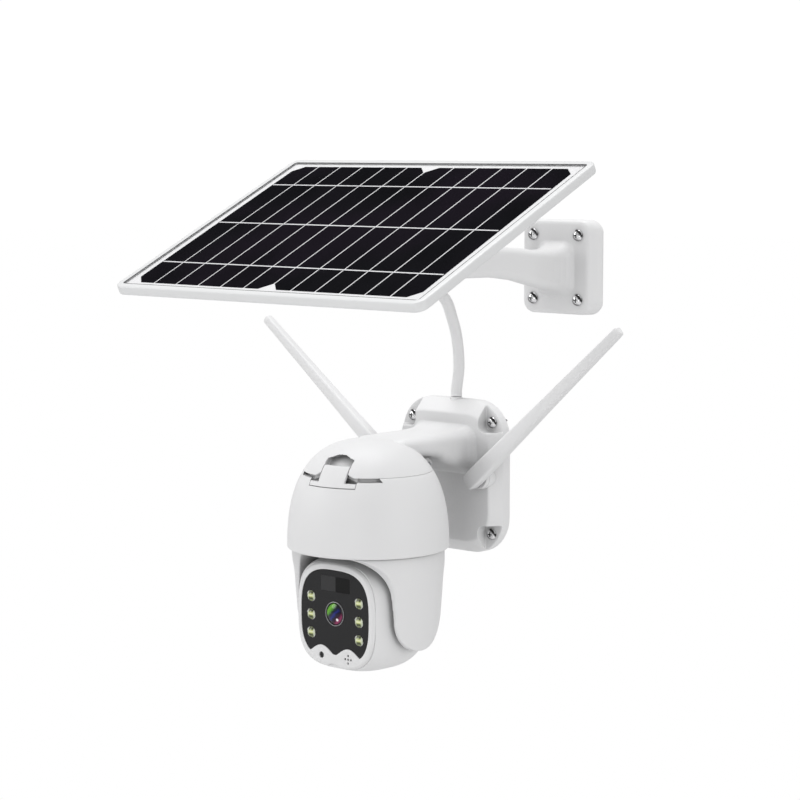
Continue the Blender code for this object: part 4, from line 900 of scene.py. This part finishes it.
def face_window():
    window = prism("face_pane", window_outline(0.15), FACE_Y + 2.6, FACE_Y + 0.6, centre=(0, HEAD_Z))
    for name in LED_NODES:
        place = centre_of(name)
        cut(window, face_rod("led_hole", place.x, place.z, 4.75))
    cut(window, face_rod("lens_hole", 0, LENS.z, 10.2))
    cut(window, block("sensor_hole", (-15.25, FACE_Y - 9, HEAD_Z + 19.15),
                      (15.75, FACE_Y + 9, HEAD_Z + 31.25)))
    return piece(window, "tilt_head", "black_acrylic", "face_window", mat=BLACK, angle=32)


LED_NODES = [f"led_{column}_{row}" for column in ("left", "right") for row in ("top", "middle", "bottom")]


def local_piece(name, profile, centre, mat, slot, *nodes, steps=64):
    """Lathe about -Y whose object origin is at its own centre, so its material is centred too."""
    obj = lathe(name, profile, (0, 0, 0), (0, -1, 0), steps)
    piece(obj, "tilt_head", slot, mat=mat)
    obj.matrix_world = Matrix.Translation(Vector(centre) * MM)
    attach(obj, "tilt_head")
    if nodes:
        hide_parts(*nodes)
    return obj


def optics():
    y = FACE_Y
    spot = (0, y, LENS.z)
    local_piece("lens_mount", [(0.0, -2.6), (9.0, -2.6), (9.15, -0.9), (9.5, -0.5), (10.15, -0.55),
                               (10.15, -4.0), (9.8, -4.6), (9.8, -15.0), (0.0, -15.0)],
                spot, DARK, "black_acrylic", "lens_barrel")
    local_piece("lens_trim", [(9.1, -0.5), (9.15, 0.0), (9.4, 0.25), (9.7, 0.15), (9.8, -0.6)],
                spot, TRIM, "steel", steps=96)
    local_piece("lens_front", [(0.0, 1.5), (2.0, 1.42), (4.2, 1.14), (6.2, 0.66), (7.8, 0.1), (8.8, -0.5),
                               (9.05, -1.0), (9.05, -2.2), (0.0, -2.2)],
                spot, LENS_PAINTED_REFLECTIONS, "clear_glass", "lens_glass", steps=96)
    for node in LED_NODES:
        place = centre_of(node)
        spot = (place.x, y, place.z)
        local_piece(node + "_lens", [(0.0, 1.0), (1.4, 0.9), (2.7, 0.55), (3.7, 0.0), (4.1, -0.4),
                                     (4.1, -3.4), (0.0, -3.4)], spot, LED_YELLOW_AND_PAINTED_REFLECTIONS, "led", node)
        local_piece(node + "_rim", [(4.15, -0.7), (4.2, -0.3), (4.4, -0.1), (4.62, -0.3), (4.65, -1.0),
                                    (4.65, -2.4), (4.15, -2.4)], spot, PLATING_PAINTED_REFLECTIONS, "steel")
    pir = block("motion_sensor_pane", (-15.15, y + 0.62, HEAD_Z + 19.25), (0.55, y + 3.4, HEAD_Z + 31.15))
    piece(pir, "tilt_head", "grey_plastic", "pir_lens", mat=SMOKE)
    pane = block("light_sensor_pane", (0.6, y + 0.62, HEAD_Z + 19.25), (15.65, y + 3.4, HEAD_Z + 31.15))
    piece(pane, "tilt_head", "black_acrylic", "light_sensor_window", mat=SMOKE_DARK)
    local_piece("mic_capsule", [(0.0, -1.3), (1.0, -1.3), (1.3, -1.0), (2.0, -1.0), (2.1, -1.4),
                                (2.1, -5.4), (0.0, -5.4)],
                (-BUMP[0], y, BUMP[1]), RUBBER, "black_rubber", "microphone")


# ---- antennas -----------------------------------------------------------------------------
def antenna(side, angle):
    pivot = joint_place(f"antenna_{side}_swivel")
    place = Matrix.Translation(pivot) @ Matrix.Rotation(radians(angle), 4, "Y")
    stations = (
        (-7.4, 4.0, 3.2), (-6.6, 5.6, 4.4), (-4.0, 6.6, 5.0), (2.0, 7.0, 5.2), (12.0, 6.95, 5.15),
        (30.0, 6.6, 5.0), (60.0, 5.9, 4.7), (90.0, 5.25, 4.4), (130.0, 4.6, 4.0), (170.0, 4.05, 3.65),
        (189.5, 3.8, 3.5), (192.3, 3.5, 3.2), (193.5, 2.6, 2.4))
    sections = []
    for along, half_w, half_t in stations:
        radius = min(half_w, half_t) * 0.42
        sections.append([place @ Vector((u, v, along)) for u, v in rounded_rect(half_w, half_t, radius, 4)])
    blade = loft("antenna_paddle_" + side, sections)
    join(blade, rod("stub", pivot, pivot + Vector((0, 8.0, 0)), 2.1, sides=32))
    piece(blade, f"{side}_antenna", "white_plastic", f"antenna_{side}", mat=WHITE)

    boss = lathe("antenna_knuckle_" + side, [
        (0.0, 16.2), (9.9, 16.2), (9.5, 11.0), (9.4, 9.3), (9.0, 9.0), (9.0, 8.4), (9.3, 8.1), (9.1, 6.6),
        (8.4, 5.8), (2.4, 5.7), (2.4, 9.0), (0.0, 9.0)], pivot, (0, 1, 0), steps=72)
    cut(boss, loft("keep", base_outer(0.3)))
    bevel(boss, 0.25, 2, 50)
    return piece(boss, "wall_side", "white_plastic", f"antenna_boss_{side}", mat=WHITE)


# ---- solar bracket ------------------------------------------------------------------------
def solar_bracket():
    cx, cz, plate_depth = PANEL_PIVOT.x, 176.5, 12.3

    def plate_loop(y, inset, wider=0.0, bowed=1.5):
        hw, hh = 34.0 - inset + wider, 37.5 - inset
        points = []
        for x, z in rounded_rect(hw - 1.5, hh, 9 - inset * 0.5, 8):
            bow = bowed * (1 - (z / hh) ** 2)
            points.append((cx + x + (bow if x > 0 else -bow), y, cz + z))
        return points

    body = loft("solar_arm_moulding", [
        plate_loop(-0.05, 0, 3.7, 5.3), plate_loop(-3.0, 0, 3.4, 4.9), plate_loop(-6.0, 0, 2.2, 3.6),
        plate_loop(-8.6, 0, 0.8, 2.2), plate_loop(-10.6, 0.5), plate_loop(-11.8, 1.6),
        plate_loop(-plate_depth, 3.4)])
    slim = (
        (-52.0, 164.8, 191.6), (-66.0, 168.0, 193.2), (-88.0, 170.8, 195.0), (-104.0, 172.0, 195.8),
        (-141.0, 172.6, 196.4), (-200.0, 176.0, 197.0), (-222.0, 178.5, 198.0))
    join(body, beam("stem", [
        (-9.0, 24.0, 149.0, 200.0, 10.5), (-12.0, 19.0, 152.6, 197.2, 10.5),
        (-14.5, 16.6, 154.8, 195.0, 9.975), (-18.0, 14.7, 156.8, 193.2, 9.45),
        (-23.0, 13.1, 158.6, 191.8, 8.4), (-30.0, 11.9, 160.2, 190.9, 7.35),
        (-38.0, 11.2, 161.6, 190.6, 6.51), *[(y, 11.0, low, high, 6.51) for y, low, high in slim],
        (-229.8, 8.2, 180.0, 199.0, 5.084), (-236.0, 7.8, 181.6, 200.0, 4.836)], cx, 8))
    join(body, cross_rod("knuckle", PANEL_PIVOT, -7.95, 7.95, 10.6, 64))
    cut(body, cross_rod("bore", PANEL_PIVOT, -20, 20, PANEL_BORE, 32))
    hollow = loft("hollow", [plate_loop(4.0, 3.0), plate_loop(-plate_depth + 5.4, 3.0)])
    screws = [(cx + sx * 22.1, cz + sz * 25.5) for sx in (1, -1) for sz in (1, -1)]
    for x, z in screws:
        cut(hollow, rod("post", (x, 9, z), (x, -20, z), 5.6))
    cut(hollow, block("rib", (cx - 40, -20, cz - 3), (cx + 40, 9, cz + 3)))
    cut(hollow, block("rib", (cx - 3, -20, cz - 40), (cx + 3, 9, cz + 40)))
    cut(body, hollow)
    for x, z in screws:
        cut(body, screw_hole(x, z))
    mould(body, 0.55, 4, 0.3)
    return piece(body, "wall_side", "white_plastic", "solar_bracket", mat=WHITE)


# ---- screws -------------------------------------------------------------------------------
def wall_screw(node):
    """Pan head with a tapered cross recess and a threaded shank."""
    low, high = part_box(node)
    x, z = (low.x + high.x) / 2 / MM, (low.z + high.z) / 2 / MM
    seat = low.y / MM + 2.9
    head, shank = 4.65, 2.1
    profile = [(0.0, 2.9)] + [(head * sin(radians(a)), 0.5 + 2.4 * cos(radians(a)))
                              for a in (15, 28, 42, 56, 68, 78, 86)]
    profile += [(head, 0.45), (head - 0.15, 0.0), (shank, 0.0), (shank, -3.5)]
    pitch = 1.4
    length = high.y / MM - seat
    for i in range(int((length - 7.0) / pitch)):
        top = -4.0 - i * pitch
        profile += [(1.55, top), (2.08, top - pitch / 2), (1.55, top - pitch)]
    profile += [(1.4, 2.6 - length), (0.0, 0.1 - length)]
    screw = lathe(node + "_detail", profile, (x, seat, z), (0, -1, 0), steps=40)
    corners = ((1, 1), (-1, 1), (-1, -1), (1, -1))
    for a, b in ((0.55, 2.5), (2.5, 0.55)):
        top = [(x + sx * a, seat - 3.2, z + sz * b) for sx, sz in corners]
        floor = [(x + sx * a * 0.6, seat - 0.9, z + sz * b * 0.45) for sx, sz in corners]
        cut(screw, loft("cross", [top, floor]))
    return piece(screw, "wall_side", "chrome_screw", node, mat=PLATING_PAINTED_REFLECTIONS, angle=38)


# ---- solar panel --------------------------------------------------------------------------
PANEL_HALF = (146.5, 106.5)
GLASS_HALF = (141.5, 101.5)
PANEL_DEPTH = 7.3


def on_panel(obj):
    """Moves a piece made flat, with the panel's top centre at the origin, onto the panel."""
    place = PANEL_PLACE.copy()
    place.translation = PANEL_PLACE.translation * MM
    bake(obj)
    obj.data.transform(place)
    return obj


def flat_loop(half_w, half_h, radius, z, count=8):
    return [(x, y, z) for x, y in rounded_rect(half_w, half_h, radius, count)]


def frame_loop(inset, z):
    radius = max(8.0 - inset, 0.9)
    return flat_loop(PANEL_HALF[0] - inset, PANEL_HALF[1] - inset, radius, z, 10)


def panel_frame():
    rows = [(5.0, -0.15), (4.85, 0.0), (1.2, 0.0), (0.45, -0.25), (0.1, -0.8), (0.0, -1.6), (0.0, -5.6),
            (0.15, -6.4), (0.6, -7.0), (1.4, -PANEL_DEPTH), (2.3, -PANEL_DEPTH), (2.6, -7.1), (2.6, -1.2),
            (5.0, -1.2)]
    body = loft("panel_rim", [frame_loop(inset, z) for inset, z in rows], closed=True)
    on_panel(body)
    return piece(body, "panel", "white_frame", "panel_frame", mat=WHITE_FRAME, angle=40)


def sheet(name, wider, z_top, z_bottom):
    """Thin sheet a little larger or smaller than the glass."""
    return loft(name, [flat_loop(GLASS_HALF[0] + wider, GLASS_HALF[1] + wider, 1.2, z, 3)
                       for z in (z_bottom, z_top)])


def panel_layers():
    pane = sheet("panel_cover_glass", -0.1, -0.55, -1.05)
    piece(on_panel(pane), "panel", "clear_glass", "panel_glass", mat=PANE)
    back = sheet("panel_backing", 2.1, -1.5, -6.9)
    piece(on_panel(back), "panel", "white_frame", mat=WHITE_SHEET)

    # Dark ring along the glass's edge that draws the thin dark line between frame and glass.
    ring = ((0.12, -0.25), (0.9, -0.25), (0.9, -0.5), (0.12, -0.5))
    dark_edge = loft("panel_dark_edge_line", [flat_loop(GLASS_HALF[0] - inset, GLASS_HALF[1] - inset, 0.8, z, 3)
                                   for inset, z in ring], closed=True)
    piece(on_panel(dark_edge), "panel", "black_rubber", mat=GAP_DARK)


def solar_cells():
    """Two groups of six strips, cut from cells with clipped corners, and three ribbons across them."""
    pitch, length, gap, clip = 22.57, 192.0, 1.4, 8.0
    bm = bmesh.new()
    for index in range(12):
        x0 = (index - 6) * pitch + gap / 2
        x1 = x0 + pitch - gap
        half = length / 2
        left = clip if index % 6 == 0 else 0.0
        right = clip if index % 6 == 5 else 0.0
        outline = [(x0 + left, half), (x0, half - left), (x0, -half + left), (x0 + left, -half),
                   (x1 - right, -half), (x1, -half + right), (x1, half - right), (x1 - right, half)]
        points = [point for i, point in enumerate(outline) if point != outline[i - 1]]
        tops, lows = [[bm.verts.new((x, y, z)) for x, y in points] for z in (-1.3, -1.45)]
        bm.faces.new(tops)
        bm.faces.new(lows[::-1])
        for i in range(len(points)):
            j = (i + 1) % len(points)
            bm.faces.new((tops[i], lows[i], lows[j], tops[j]))
    cells = from_bmesh("solar_strips", bm)
    piece(on_panel(cells), "panel", "solar_cells", "cell_laminate", mat=SILICON)
    bm = bmesh.new()
    for y in (-length / 3, 0.0, length / 3):
        box = bmesh.ops.create_cube(bm, size=1.0)["verts"]
        bmesh.ops.scale(bm, vec=(12 * pitch - 3.0, 1.3, 0.08), verts=box)
        bmesh.ops.translate(bm, vec=(0, y, -1.24), verts=box)
    ribbons = from_bmesh("cell_ribbons", bm)
    piece(on_panel(ribbons), "panel", "steel", mat=RIBBON)


def panel_fittings():
    box = block("junction_housing", (-70, -8, -22.0), (-26, 32, -7.2))
    bevel(box, 2.0, 4)
    for i in range(5):
        cut(box, block("rib_groove", (-64 + i * 8, -3, -25), (-62.4 + i * 8, 27, -21.3)))
    piece(on_panel(box), "panel", "black_acrylic", "junction_box", mat=DARK)
    gland = lathe("junction_nut", [
        (0.0, -22.2), (6.6, -22.2), (6.8, -23.0), (6.6, -26.6), (5.8, -27.6), (5.6, -29.0), (5.3, -29.2),
        (5.3, -30.2), (5.5, -30.4), (5.2, -32.0), (0.0, -32.0)], (-48.0, 12.0, 0), steps=48)
    piece(on_panel(gland), "panel", "black_rubber", "junction_gland", mat=RUBBER)

    pivot = PANEL_PIVOT
    rows = ((24.0, 5.0, -7.2), (24.0, 5.0, -10.0), (23.0, 4.4, -11.0))
    mount = on_panel(loft("mount_plate", [flat_loop(half, half, radius, z) for half, radius, z in rows]))
    for side in (1, -1):
        inner, outer = side * 8.3, side * 13.0
        join(mount, on_panel(block("ear", (inner, -10.5, -28.0), (outer, 10.5, -9.0))))
        join(mount, cross_rod("ear_round", pivot, inner, outer, 10.5, 64))
    cut(mount, cross_rod("ear_bore", pivot, -20, 20, PANEL_BORE, 32))
    bevel(mount, 0.5, 2, 50)
    piece(mount, "panel", "white_plastic", "panel_mount", mat=WHITE)

    bolt = bevel(cross_rod("clamp_bolt", pivot, -17.0, -13.3, 5.0, 6), 0.4, 2, 40)
    join(bolt, cross_rod("shank", pivot, -15.0, 19.0, 2.6, 40))
    piece(bolt, "panel", "steel", "tilt_bolt", mat=STEEL)
    knob = cross_rod("clamp_knob", pivot, 13.3, 23.0, 8.6, 96)
    for i in range(6):
        angle = pi / 3 * i
        flute = pivot + Vector((0, 9.9 * cos(angle), 9.9 * sin(angle)))
        cut(knob, cross_rod("flute", flute, 10, 30, 2.6, 32))
    cut(knob, cross_rod("knob_bore", pivot, 10, 20, PANEL_BORE, 40))
    bevel(knob, 0.6, 3, 40)
    piece(knob, "knob", "black_acrylic", "tilt_knob", mat=KNOB)


# ---- inner parts that keep their CAD shape --------------------------------------------------
def finish_inner_parts():
    finishes = {
        WHITE: ("base_back_plate",),
        GREY: ("chassis_plate", "battery_tray"),
        RUBBER: ("speaker",),
        STEEL: ("pan_bearing", "pan_motor", "body_hinge_pin", "latch_pin", "pan_shaft", "tilt_shaft",
                "tilt_trunnion", "tilt_motor", "sim_card_slot"),
        WRAP: ("battery_cell_front", "battery_cell_middle", "battery_cell_rear"),
        BOARD: ("main_board", "sensor_board", "led_board"),
    }
    for mat, nodes in finishes.items():
        for node in nodes:
            for slot in frame["nodes"][node].material_slots:
                slot.material = mat


scene_camera()
studio()
solar_cable()
housing()
lower_dome()
latch()
yoke()
head_shell()
head_bezel()
face_window()
optics()
antenna("left", -51.6)
antenna("right", 48.2)
solar_bracket()
for screw_node in [n for n in frame["nodes"] if "wall_screw" in n]:
    wall_screw(screw_node)
panel_frame()
panel_layers()
solar_cells()
panel_fittings()
finish_inner_parts()
